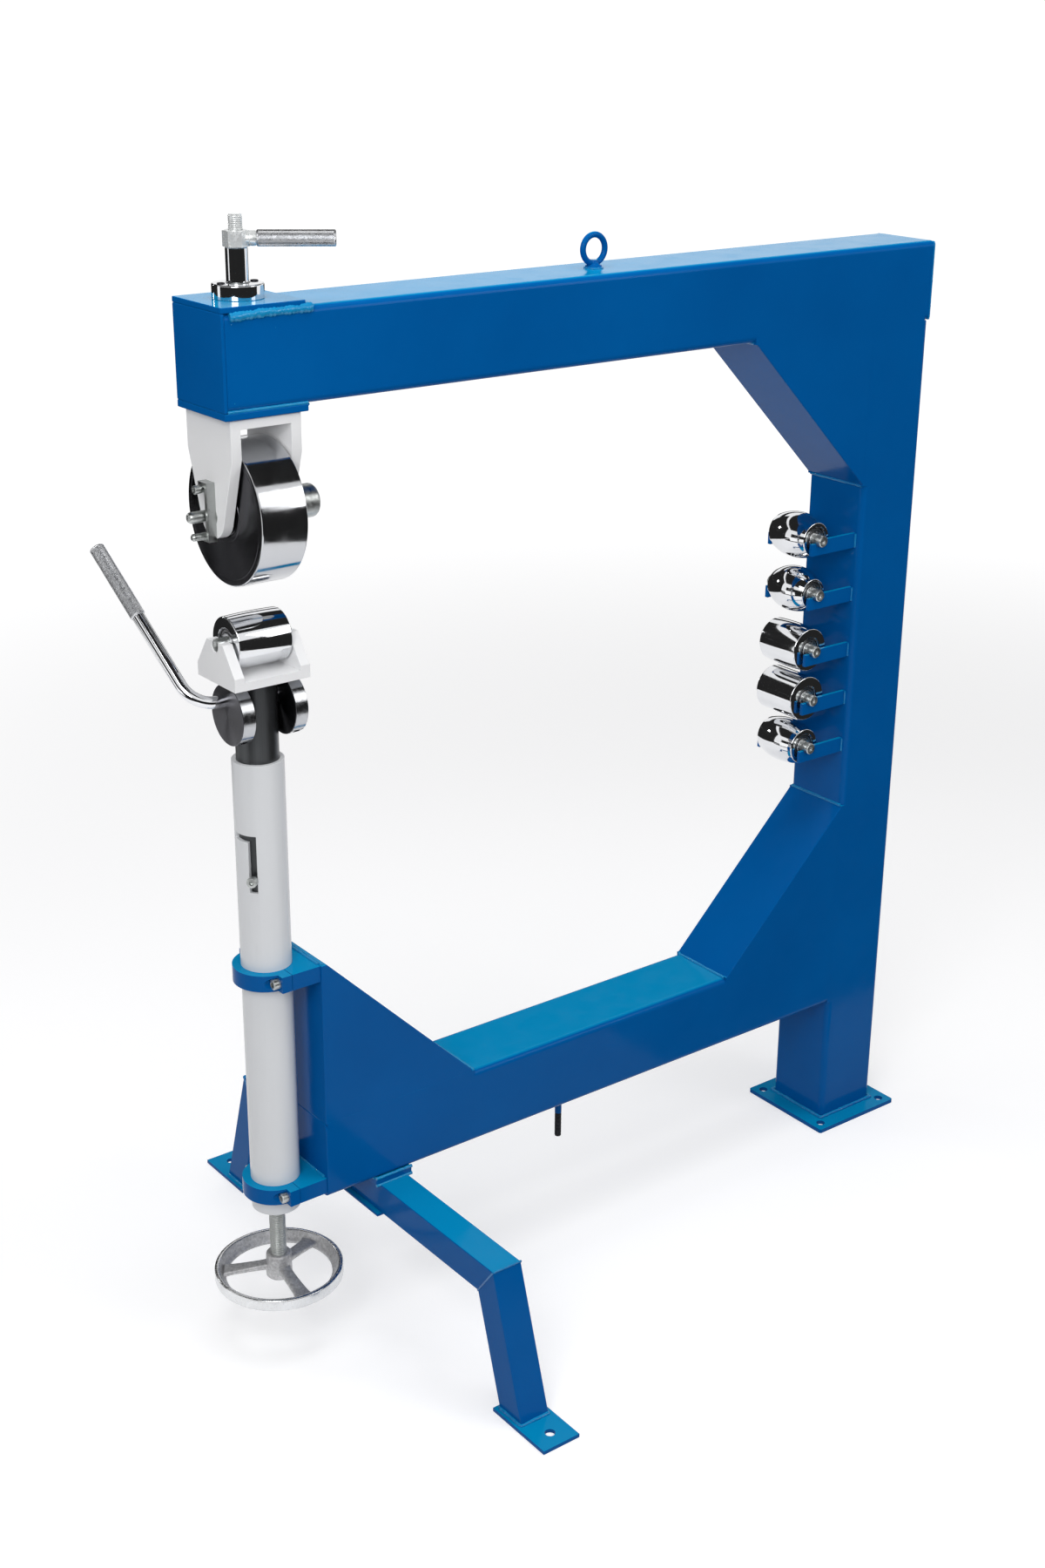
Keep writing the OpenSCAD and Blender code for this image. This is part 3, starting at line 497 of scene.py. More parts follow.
def skin(bm, rings, finish=0):
    """Joins rings of points into a shell with a cap at each end."""
    made = []
    for a, b in zip(rings, rings[1:]):
        for k in range(len(a)):
            n = (k + 1) % len(a)
            made.append(bm.faces.new((a[k], a[n], b[n], b[k])))
    made += [bm.faces.new(rings[0]), bm.faces.new(rings[-1])]
    for face in made:
        face.material_index = finish
    bmesh.ops.recalc_face_normals(bm, faces=made)


def sweep(bm, points, radii, sides):
    """A round bar along points, with a radius at each."""
    turn = circle(sides)
    rings = []
    u = None
    for i, point in enumerate(points):
        ahead = (points[min(i + 1, len(points) - 1)] - points[max(i - 1, 0)]).normalized()
        if u is None:
            u, _ = basis(ahead)
        u = (u - ahead * u.dot(ahead)).normalized()
        v = ahead.cross(u)
        rings.append([bm.verts.new(point + radii[i] * (u * c + v * d)) for c, d in turn])
    skin(bm, rings)


def socket_screw(bm, base, axis, radius, height, socket, finish=0):
    """A socket head with a rounded rim and a hexagon socket; base is under the head."""
    u, v = basis(axis)
    steps, lip, sixth = 28, 0.0003, math.pi / 3

    def ring(r, height_here, hexagon=False):
        made = []
        for k in range(steps):
            a = TURN * k / steps
            reach = r
            if hexagon:
                sector = (a + sixth / 2) % sixth - sixth / 2
                reach = r * math.cos(sixth / 2) / math.cos(sector)
            made.append(bm.verts.new(base + axis * height_here + reach * (u * math.cos(a)
                                                                          + v * math.sin(a))))
        return made

    soft = min(radius * 0.16, height * 0.3)
    skin(bm, [ring(radius, 0), ring(radius, height - soft),
              ring(radius - soft * 0.3, height - soft * 0.3), ring(radius - soft, height),
              ring(socket * 1.08, height, True), ring(socket, height - lip, True),
              ring(socket, height * 0.5, True)], finish)


# Geometry node trees

def geometry_tree(name, inputs):
    """A new geometry tree; inputs are (label, socket type, default)."""
    tree = bpy.data.node_groups.new(name, "GeometryNodeTree")
    tree.is_modifier = True
    face = tree.interface
    face.new_socket("Geometry", in_out="INPUT", socket_type="NodeSocketGeometry")
    face.new_socket("Geometry", in_out="OUTPUT", socket_type="NodeSocketGeometry")
    for label, kind, default in inputs:
        made = face.new_socket(label, in_out="INPUT", socket_type=kind)
        if default is not None:
            made.default_value = default
    return tree, tree.nodes.new("NodeGroupInput")


def close_tree(tree, geometry, finish):
    """Ends a tree in Realize Instances and Set Material."""
    real = add(tree, "GeometryNodeRealizeInstances", {"Geometry": geometry})
    painted = add(tree, "GeometryNodeSetMaterial",
                  {"Geometry": real.outputs[0], "Material": finish})
    out = tree.nodes.new("NodeGroupOutput")
    tree.links.new(painted.outputs[0], out.inputs[0])


def grown(kind, name, values, finish, points=None, edges=(), faces=(), place=None):
    """Runs the tree of that kind on a small guide mesh; the result is a plain mesh object."""
    tree = bpy.data.node_groups[kind]
    guide_mesh = bpy.data.meshes.new(name + "_guide")
    guide_mesh.from_pydata(points or [(0, 0, 0)], edges, faces)
    guide = bpy.data.objects.new(name + "_guide", guide_mesh)
    bpy.context.scene.collection.objects.link(guide)
    grow = guide.modifiers.new("grow", "NODES")
    grow.node_group = tree
    ids = {i.name: i.identifier for i in tree.interface.items_tree
           if i.item_type == "SOCKET" and i.in_out == "INPUT"}
    for label, value in {**values, "Finish": FINISH[finish]}.items():
        grow[ids[label]] = value
    graph = bpy.context.evaluated_depsgraph_get()
    mesh = bpy.data.meshes.new_from_object(guide.evaluated_get(graph))
    bpy.data.objects.remove(guide)
    bpy.data.meshes.remove(guide_mesh)
    if not mesh.polygons:
        raise RuntimeError(f"{name} came out empty")
    mesh.name = name
    if place is not None:
        mesh.transform(place)
    piece = bpy.data.objects.new(name, mesh)
    bpy.context.scene.collection.objects.link(piece)
    return piece


def bead_tree():
    """A weld bead along a path: a rippled round section with uneven shoulders."""
    tree, given = geometry_tree("weld_bead", [
        ("Radius", "NodeSocketFloat", 0.0026), ("Step", "NodeSocketFloat", 0.0045),
        ("Unevenness", "NodeSocketFloat", 0.0012), ("Seed", "NodeSocketFloat", 0.0),
        ("Finish", "NodeSocketMaterial", None)])
    g = given.outputs
    spacing, ripple_height, narrowest, swing = 0.0014, 0.16, 0.45, 0.9
    place = add(tree, "GeometryNodeInputPosition").outputs[0]

    def uneven(scale):
        return add(tree, "ShaderNodeTexNoise",
                   {"Vector": place, "W": g["Seed"], "Scale": scale, "Detail": 2.0},
                   noise_dimensions="4D").outputs["Fac"]

    curve = add(tree, "GeometryNodeMeshToCurve", {"Mesh": g["Geometry"]})
    fine = add(tree, "GeometryNodeResampleCurve",
               {"Curve": curve.outputs[0], "Length": spacing}, mode="LENGTH")
    run = add(tree, "GeometryNodeSplineParameter").outputs["Length"]
    ripple = maths(tree, "ABSOLUTE", maths(tree, "SINE", maths(
        tree, "MULTIPLY", maths(tree, "DIVIDE", run, g["Step"]), math.pi)))
    width = maths(tree, "MULTIPLY_ADD", uneven(70.0), swing, narrowest)
    radius = maths(tree, "MULTIPLY", g["Radius"],
                   maths(tree, "MULTIPLY_ADD", ripple, ripple_height, width))
    thick = add(tree, "GeometryNodeSetCurveRadius", {"Curve": fine.outputs[0], "Radius": radius})
    section = add(tree, "GeometryNodeCurvePrimitiveCircle", {"Resolution": 12, "Radius": 1.0})
    tube = add(tree, "GeometryNodeCurveToMesh",
               {"Curve": thick.outputs[0], "Profile Curve": section.outputs[0],
                "Fill Caps": True})
    if tube.inputs.get("Scale") is not None:
        tree.links.new(add(tree, "GeometryNodeInputRadius").outputs[0], tube.inputs["Scale"])
    push = maths(tree, "MULTIPLY", maths(tree, "SUBTRACT", uneven(190.0), 0.5), g["Unevenness"])
    away = add(tree, "ShaderNodeVectorMath",
               {0: add(tree, "GeometryNodeInputNormal").outputs[0], "Scale": push},
               operation="SCALE").outputs[0]
    lumpy = add(tree, "GeometryNodeSetPosition", {"Geometry": tube.outputs[0], "Offset": away})
    soft = add(tree, "GeometryNodeSetShadeSmooth", {"Geometry": lumpy.outputs[0]})
    close_tree(tree, soft.outputs[0], g["Finish"])


def raised(tree, geometry, height):
    """Geometry moved up along Z."""
    way = add(tree, "ShaderNodeCombineXYZ", {"Z": height}).outputs[0]
    return add(tree, "GeometryNodeTransform",
               {"Geometry": geometry, "Translation": way}).outputs[0]


def thread_tree():
    """A threaded bar along Z from the origin: a core and one ridge wound round it."""
    tree, given = geometry_tree("thread", [
        ("Crest Radius", "NodeSocketFloat", 0.01), ("Pitch", "NodeSocketFloat", 0.0025),
        ("Length", "NodeSocketFloat", 0.1), ("Around", "NodeSocketInt", 36),
        ("Finish", "NodeSocketMaterial", None)])
    g = given.outputs
    overlap, bare_turns, first_turn = 0.00012, 1.1, 0.55
    depth = maths(tree, "MULTIPLY", g["Pitch"], 0.5)
    root = maths(tree, "SUBTRACT", g["Crest Radius"], depth)
    core = add(tree, "GeometryNodeMeshCylinder",
               {"Vertices": g["Around"], "Radius": maths(tree, "ADD", root, overlap),
                "Depth": g["Length"]}, fill_type="NGON")
    turns = maths(tree, "SUBTRACT", maths(tree, "DIVIDE", g["Length"], g["Pitch"]), bare_turns)
    coil = add(tree, "GeometryNodeCurveSpiral",
               {"Resolution": g["Around"], "Rotations": turns, "Start Radius": root,
                "End Radius": root, "Height": maths(tree, "MULTIPLY", turns, g["Pitch"])})
    section = add(tree, "GeometryNodeCurvePrimitiveCircle", {"Resolution": 4, "Radius": depth})
    ridge = add(tree, "GeometryNodeCurveToMesh",
                {"Curve": coil.outputs[0], "Profile Curve": section.outputs[0],
                 "Fill Caps": True})
    both = add(tree, "GeometryNodeJoinGeometry")
    for geometry, height in (
            (core.outputs["Mesh"], maths(tree, "MULTIPLY", g["Length"], 0.5)),
            (ridge.outputs[0], maths(tree, "MULTIPLY", g["Pitch"], first_turn))):
        tree.links.new(raised(tree, geometry, height), both.inputs[0])
    close_tree(tree, both.outputs[0], g["Finish"])


def knurl_tree():
    """A grip along Z from the origin: rows of small pyramids, with plain turned ends."""
    tree, given = geometry_tree("knurl", [
        ("Radius", "NodeSocketFloat", 0.0085), ("Length", "NodeSocketFloat", 0.08),
        ("Cells", "NodeSocketInt", 34), ("Depth", "NodeSocketFloat", 0.0005),
        ("End", "NodeSocketFloat", 0.0015), ("Finish", "NodeSocketMaterial", None)])
    g = given.outputs
    # Quads along a cell, and what keeps the input of the ping-pong nodes above zero
    quads, above_zero = 4.0, 500.0
    taper_share, end_share = 0.55, 0.7
    cell = maths(tree, "DIVIDE", maths(tree, "MULTIPLY", g["Radius"], TURN), g["Cells"])
    rows = maths(tree, "ROUND", maths(tree, "DIVIDE", g["Length"], cell))
    body = add(tree, "GeometryNodeMeshCylinder",
               {"Vertices": maths(tree, "MULTIPLY", g["Cells"], quads),
                "Side Segments": maths(tree, "MULTIPLY", rows, quads),
                "Fill Segments": 1, "Radius": g["Radius"], "Depth": g["Length"]},
               fill_type="NGON")
    where = add(tree, "ShaderNodeSeparateXYZ",
                {0: add(tree, "GeometryNodeInputPosition").outputs[0]}).outputs
    around = maths(tree, "MULTIPLY", maths(tree, "ARCTAN2", where["Y"], where["X"]),
                   maths(tree, "DIVIDE", g["Cells"], TURN))
    up = maths(tree, "MULTIPLY", where["Z"], maths(tree, "DIVIDE", rows, g["Length"]))
    one, two = (maths(tree, "PINGPONG", maths(tree, "ADD", maths(
        tree, way, around, up), above_zero), 0.5) for way in ("ADD", "SUBTRACT"))
    peak = maths(tree, "MULTIPLY", maths(tree, "MINIMUM", one, two), 2.0)
    groove = maths(tree, "MULTIPLY", maths(tree, "SUBTRACT", 1.0, peak), g["Depth"])
    half = maths(tree, "MULTIPLY", g["Length"], 0.5)
    inside = maths(tree, "SUBTRACT", half, maths(tree, "ABSOLUTE", where["Z"]))
    bare = maths(tree, "LESS_THAN", inside, g["End"])
    taper = maths(tree, "MAXIMUM", maths(tree, "SUBTRACT", maths(
        tree, "MULTIPLY", g["End"], taper_share), inside), 0.0)
    cut = maths(tree, "ADD", taper, maths(tree, "MULTIPLY", groove, maths(
        tree, "SUBTRACT", 1.0, maths(tree, "MULTIPLY", bare, end_share))))
    shrink = maths(tree, "SUBTRACT", 1.0, maths(tree, "DIVIDE", cut, g["Radius"]))
    placed = add(tree, "ShaderNodeCombineXYZ", {
        "X": maths(tree, "MULTIPLY", where["X"], shrink),
        "Y": maths(tree, "MULTIPLY", where["Y"], shrink),
        "Z": maths(tree, "ADD", where["Z"], half)})
    cutout = add(tree, "GeometryNodeSetPosition",
                 {"Geometry": body.outputs["Mesh"], "Position": placed.outputs[0]})
    close_tree(tree, cutout.outputs[0], g["Finish"])


def spatter_tree():
    """Drops of weld spatter strewn over guide faces."""
    tree, given = geometry_tree("spatter", [
        ("Drops per Area", "NodeSocketFloat", 3000.0), ("Largest", "NodeSocketFloat", 0.0009),
        ("Seed", "NodeSocketInt", 1), ("Finish", "NodeSocketMaterial", None)])
    g = given.outputs
    smallest_share, flatness = 0.25, 0.7
    strewn = add(tree, "GeometryNodeDistributePointsOnFaces",
                 {"Mesh": g["Geometry"], "Density": g["Drops per Area"], "Seed": g["Seed"]})
    drop = add(tree, "GeometryNodeMeshIcoSphere", {"Radius": 1.0, "Subdivisions": 2})
    dice = add(tree, "FunctionNodeRandomValue", {2: smallest_share, 3: 1.0, "Seed": g["Seed"]},
               data_type="FLOAT")
    size = maths(tree, "MULTIPLY", maths(tree, "POWER", dice.outputs[1], 2.0), g["Largest"])
    flat = add(tree, "ShaderNodeCombineXYZ",
               {"X": size, "Y": size, "Z": maths(tree, "MULTIPLY", size, flatness)})
    laid = add(tree, "GeometryNodeInstanceOnPoints",
               {"Points": strewn.outputs["Points"], "Instance": drop.outputs[0],
                "Rotation": strewn.outputs["Rotation"], "Scale": flat.outputs[0]})
    real = add(tree, "GeometryNodeRealizeInstances", {"Geometry": laid.outputs[0]})
    soft = add(tree, "GeometryNodeSetShadeSmooth", {"Geometry": real.outputs[0]})
    close_tree(tree, soft.outputs[0], g["Finish"])


# Welds and painted plates

PLATES = (
    "rear_foot_plate", "rear_column", "lower_arm", "upper_arm", "arm_end_cap", "lower_gusset",
    "upper_gusset", "front_gusset", "head_top_plate", "head_bottom_plate", "head_front_plate",
)
LEG_PLATES = (
    "leg_saddle_plate", "leg_splice_plate", "leg_cross_tube", "near_leg", "far_leg",
    "near_foot", "far_foot",
)
CLAMPS = ("upper_clamp_block", "upper_clamp_cap", "lower_clamp_block", "lower_clamp_cap")
LEG_ANGLE = math.radians(72.8)


def bead(name, paths, radius, seed, unevenness=0.0012):
    """Weld beads along several paths, in one painted piece; a path is (points, closed)."""
    points, edges = [], []
    for path, closed in paths:
        first = len(points)
        points += [tuple(p) for p in path]
        edges += [(i, i + 1) for i in range(first, len(points) - 1)]
        if closed:
            edges.append((len(points) - 1, first))
    piece = grown("weld_bead", name,
                  {"Radius": radius, "Step": sizes().bead_step, "Unevenness": unevenness,
                   "Seed": seed}, "weld", points, edges)
    settle(piece, "frame", "blue_paint")


def across(x, z, half=0.0465):
    """A path from the near side to the far side."""
    return ([(x, -half, z), (x, half, z)], False)


def both_sides(*points):
    """An open path on the near side and its mirror image on the far side."""
    return [([(x, side * y, z) for x, y, z in points], False) for side in (-1, 1)]


def rectangle(x0, x1, y0, y1, z):
    """A closed path that lies flat."""
    return (level(x0, x1, y0, y1, z), True)


def spatter(name, patches, seed, density):
    """Drops on flat patches; a patch is its four corners, anticlockwise from outside."""
    points = [p for patch in patches for p in patch]
    faces = [tuple(range(4 * i, 4 * i + 4)) for i in range(len(patches))]
    piece = grown("spatter", name,
                  {"Drops per Area": density, "Largest": sizes().drop, "Seed": seed},
                  "weld", points, (), faces)
    settle(piece, "frame", "blue_paint")


def frame_welds(radius):
    """Fillets where the braces, the arms and the column meet."""
    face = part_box("rear_column")[0].x
    arm_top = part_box("lower_arm")[1].z
    lower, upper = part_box("lower_gusset"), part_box("upper_gusset")
    bead("frame_welds", [
        across(face, lower[1].z), across(lower[0].x, arm_top),
        across(face, upper[0].z), across(upper[0].x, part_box("upper_arm")[0].z),
        across(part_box("front_gusset")[1].x, arm_top)], radius * 0.85, 1.0)


def head_welds(radius, fat):
    """A thick uneven bead under the head's top plate, and thin seams on its other plates."""
    top_low, top_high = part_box("head_top_plate")
    under_low, under_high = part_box("head_bottom_plate")
    fat_out, thin_out, raised_by = 0.0480, 0.0478, 0.0012
    edge = top_low.z - 0.0030
    bead("head_top_weld", both_sides(
        (top_low.x + 0.010, fat_out, edge - 0.0014), (top_low.x + 0.040, fat_out, edge),
        (top_high.x + 0.007, fat_out, edge + 0.0006)), fat, 2.0, 0.0036)
    seam = under_high.z + raised_by
    bead("head_seams", [
        across(top_high.x + raised_by, top_low.z + raised_by, 0.049),
        across(under_high.x + 0.001, under_high.z - 0.001, 0.047),
        *both_sides((under_low.x + 0.004, thin_out, seam), (under_high.x, thin_out, seam))],
        radius * 0.7, 3.0)


def flush_joins():
    """Thin strips over the seams that were ground flush, on both sides of the frame.

    Each strip stands a little further out than the one before, so no two share a plane.
    """
    proud, step = 0.00002, 0.00001
    round_edge, lap, thick = 0.0085, 0.002, 0.006
    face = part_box("rear_column")[0].x
    low_arm, high_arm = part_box("lower_arm"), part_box("upper_arm")
    lower, upper, brace = (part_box(n) for n in ("lower_gusset", "upper_gusset", "front_gusset"))
    top, foot = low_arm[1].z, high_arm[0].z
    strips = (
        (lower[0].x, face + round_edge, top - round_edge, top + lap),
        (face - lap, face + round_edge, low_arm[0].z, lower[1].z),
        (upper[0].x, face + round_edge, foot - lap, foot + round_edge),
        (face - lap, face + round_edge, upper[0].z, foot + round_edge),
        (face, high_arm[1].x - round_edge, foot - lap, foot + round_edge),
        (brace[0].x + lap, brace[1].x, top - round_edge, top + lap))
    bm = bmesh.new()
    for side in (-1, 1):
        for i, (x0, x1, z0, z1) in enumerate(strips, 1):
            out = TUBE_HALF + proud + step * i
            y0, y1 = sorted((side * (out - thick), side * out))
            low, high = Vector((x0, y0, z0)), Vector((x1, y1, z1))
            for v in bmesh.ops.create_cube(bm, size=1.0)["verts"]:
                v.co = (low + high) / 2 + Vector(
                    [c * (h - l) for c, h, l in zip(v.co, high, low)])
    complete(bm, "flush_ground_joins", ["blue"], "frame", "blue_paint")


def column_welds(radius):
    """Fillets round the column's foot and round the cap on the upper arm's rear end."""
    out = 0.001
    low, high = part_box("rear_column")
    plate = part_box("rear_foot_plate")[1].z
    bead("rear_foot_weld", [rectangle(low.x - out, high.x + out, low.y - out, high.y + out,
                                      plate + out)], radius, 4.0, 0.002)
    low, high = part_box("arm_end_cap")
    bead("end_cap_weld", [(
        [(low.x, low.y, low.z + out), (low.x, high.y, low.z + out),
         (low.x, high.y, high.z - out), (low.x, low.y, high.z - out)], True)],
        radius * 0.55, 5.0)


def leg_welds(radius):
    """Seams of the mitred cross tube, of the legs' feet and of the saddle plate."""
    cross_low, cross_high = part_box("leg_cross_tube")
    wide = (cross_high.x - cross_low.x) / 2
    front_x, rear_x = cross_low.x, cross_high.x
    inner = cross_high.y - (cross_high.z - cross_low.z) * math.tan(LEG_ANGLE / 2)
    bead("leg_mitre_welds", [
        ([(front_x, side * cross_high.y, cross_high.z),
          (rear_x, side * cross_high.y, cross_high.z), (rear_x, side * inner, cross_low.z),
          (front_x, side * inner, cross_low.z)], True)
        for side in (-1, 1)], radius * 0.5, 6.0)

    leg_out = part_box("far_leg")[1].y
    leg_in = leg_out - 2 * wide / math.sin(LEG_ANGLE)
    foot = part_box("far_foot")[1].z
    bead("front_foot_welds", [rectangle(front_x, rear_x, side * leg_in, side * leg_out, foot)
                              for side in (-1, 1)], radius * 0.9, 7.0, 0.002)

    low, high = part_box("leg_saddle_plate")
    skirt = 0.0495
    bead("saddle_welds", [
        ([(low.x, side * skirt, z), (high.x, side * skirt, z)], False)
        for side in (-1, 1) for z in (high.z, low.z)] + [across(low.x, high.z)],
        radius * 0.8, 8.0)


def rack_and_clamp_welds(radius):
    """Short beads at the roots of the rack's arms, and seams of the clamps and the brace."""
    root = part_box("rear_column")[0].x - 0.0004
    tall = 0.018
    arms = []
    for i in SPARES:
        z = middle(f"spare_axle_{i}").z
        for y in (-0.0415, -0.0355, 0.0355, 0.0415):
            arms.append(([(root, y, z - tall), (root, y, z)], False))
    bead("rack_welds", arms, radius * 0.62, 9.0)

    joins = []
    for node in ("upper_clamp_block", "lower_clamp_block"):
        low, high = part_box(node)
        joins += [across(high.x, z, 0.043) for z in (high.z, low.z)]
    bead("clamp_welds", joins, radius * 0.7, 10.0)
    low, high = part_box("front_gusset")
    bead("brace_lip_weld", [across(low.x + 0.004, high.z - 0.0006, 0.047)], radius * 0.6, 12.0)


def weld_spatter():
    """Drops on the near side of the head and on the foot plates."""
    x0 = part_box("head_front_plate")[0].x
    x1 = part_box("head_bottom_plate")[1].x
    under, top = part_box("head_bottom_plate")[1].z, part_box("head_top_plate")[0].z
    near = -TUBE_HALF
    spatter("head_spatter", [
        wall(x0, near, x0 + 0.016, near, under, top),
        wall(x0, near, x1 + 0.03, near, under, under + 0.012),
        wall(x0, near, x1 + 0.01, near, top - 0.02, top - 0.006)], 3, 5200.0)
    low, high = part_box("rear_foot_plate")
    near_low, near_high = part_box("near_foot")
    spatter("foot_spatter", [
        level(low.x, high.x, low.y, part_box("rear_column")[0].y, high.z),
        level(near_low.x, near_high.x, near_low.y, near_high.y, near_high.z)], 5, 2600.0)


class ENGLISHWHEEL_OT_finishes(bpy.types.Operator):
    """Make every paint, plating and metal finish, and the trees that grow details"""

    bl_idname = "english_wheel.finishes"
    bl_label = "Finishes"

    def execute(self, context):
        make_finishes()
        bead_tree()
        thread_tree()
        knurl_tree()
        spatter_tree()
        return {"FINISHED"}


class ENGLISHWHEEL_OT_frame(bpy.types.Operator):
    """Build the tubes, gussets and head plates of the welded frame"""

    bl_idname = "english_wheel.frame"
    bl_label = "Welded frame"

    def execute(self, context):
        for node in PLATES:
            dress(node, "painted_" + node, "blue", sizes().plate_edge, "frame", "blue_paint")
        return {"FINISHED"}


class ENGLISHWHEEL_OT_legs(bpy.types.Operator):
    """Build the front legs with their saddle, splice plate and feet"""

    bl_idname = "english_wheel.legs"
    bl_label = "Front legs"

    def execute(self, context):
        for node in LEG_PLATES:
            dress(node, "painted_" + node, "blue", sizes().plate_edge, "frame", "blue_paint")
        return {"FINISHED"}


class ENGLISHWHEEL_OT_welds(bpy.types.Operator):
    """Lay the weld beads, the flush ground joins and the spatter on the frame and its legs"""

    bl_idname = "english_wheel.welds"
    bl_label = "Weld beads"

    def execute(self, context):
        s = sizes()
        frame_welds(s.bead)
        head_welds(s.bead, s.fat_bead)
        flush_joins()
        column_welds(s.bead)
        leg_welds(s.bead)
        rack_and_clamp_welds(s.bead)
        weld_spatter()
        return {"FINISHED"}


class ENGLISHWHEEL_OT_rack(bpy.types.Operator):
    """Build the notched arms of the anvil rack"""

    bl_idname = "english_wheel.rack"
    bl_label = "Anvil rack"

    def execute(self, context):
        dress("rack_arms", "notched_rack_arms", "blue", sizes().fine_edge, "frame", "blue_paint")
        return {"FINISHED"}


class ENGLISHWHEEL_OT_fittings(bpy.types.Operator):
    """Build the lifting eye and the threaded stud under the lower arm"""

    bl_idname = "english_wheel.fittings"
    bl_label = "Eye and stud"

    def execute(self, context):
        low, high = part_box("lifting_eye")
        x = (low.x + high.x) / 2
        stock, collar = 0.0035, 0.0103
        ring = (high.x - low.x) / 2 - stock
        turn = circle(24)
        bm = bmesh.new()
        lathe(bm, Vector((x, 0, low.z)), Z, [
            (0, 0), (0.0098, 0), (0.0100, 0.0012), (0.0096, 0.003), (0.0070, 0.0042),
            (0.0055, 0.0065), (0.0048, 0.0095), (0, 0.0095)], 48, closed=False)
        lathe(bm, Vector((x, 0, high.z - stock - ring)), Y,
              [(ring + stock * c, stock * d) for c, d in turn], 72)
        complete(bm, "painted_lifting_eye", ["blue"], "frame", "blue_paint", "lifting_eye",
                 smooth_below=60.0)
        seam = low.z + 0.0004
        bead("eye_weld", [([(x + collar * c, collar * d, seam) for c, d in turn], True)],
             sizes().bead * 0.5, 11.0)

        low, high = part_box("underside_stud")
        tip = Vector(((low.x + high.x) / 2, 0, low.z))
        tall = high.z - low.z
        bare = tall * 0.45
        bm = bmesh.new()
        rod(bm, tip + Z * bare, Z, STUD_RADIUS, tall - bare, 32)
        complete(bm, "stud_shank", ["blue"], "frame", "blue_paint", "underside_stud")
        thread = grown("thread", "stud_thread", {
            "Crest Radius": STUD_RADIUS, "Pitch": 0.00125, "Length": bare + 0.0005,
            "Around": 20}, "oxide", place=Matrix.Translation(tip))
        settle(thread, "frame", "dark_steel")
        return {"FINISHED"}


class ENGLISHWHEEL_OT_column(bpy.types.Operator):
    """Build the white outer column, its nut and the two clamps with their screws"""

    bl_idname = "english_wheel.column"
    bl_label = "Outer column and clamps"

    def execute(self, context):
        s = sizes()
        dress("outer_column", "white_outer_column", "tube", s.fine_edge, "frame", "white_paint")
        dress("column_nut", "lift_nut", "column", 0.0004, "frame", "dark_steel")
        for node in CLAMPS:
            dress(node, "painted_" + node, "blue", s.plate_edge * 0.8, "frame", "blue_paint")
        low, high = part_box("clamp_screws")
        radius, tall, socket, shank = 0.0064, 0.008, 0.0036, 0.030
        bm = bmesh.new()
        for clamp in ("upper_clamp_cap", "lower_clamp_cap"):
            for y in (low.y + radius, high.y - radius):
                head = Vector((low.x + tall, y, middle(clamp).z))
                socket_screw(bm, head, -X, radius, tall, socket)
                rod(bm, head, X, BOLT_RADIUS, shank, 20)
        complete(bm, "clamp_socket_screws", ["zinc"], "frame", "zinc_steel", "clamp_screws")
        return {"FINISHED"}


# Head and upper wheel

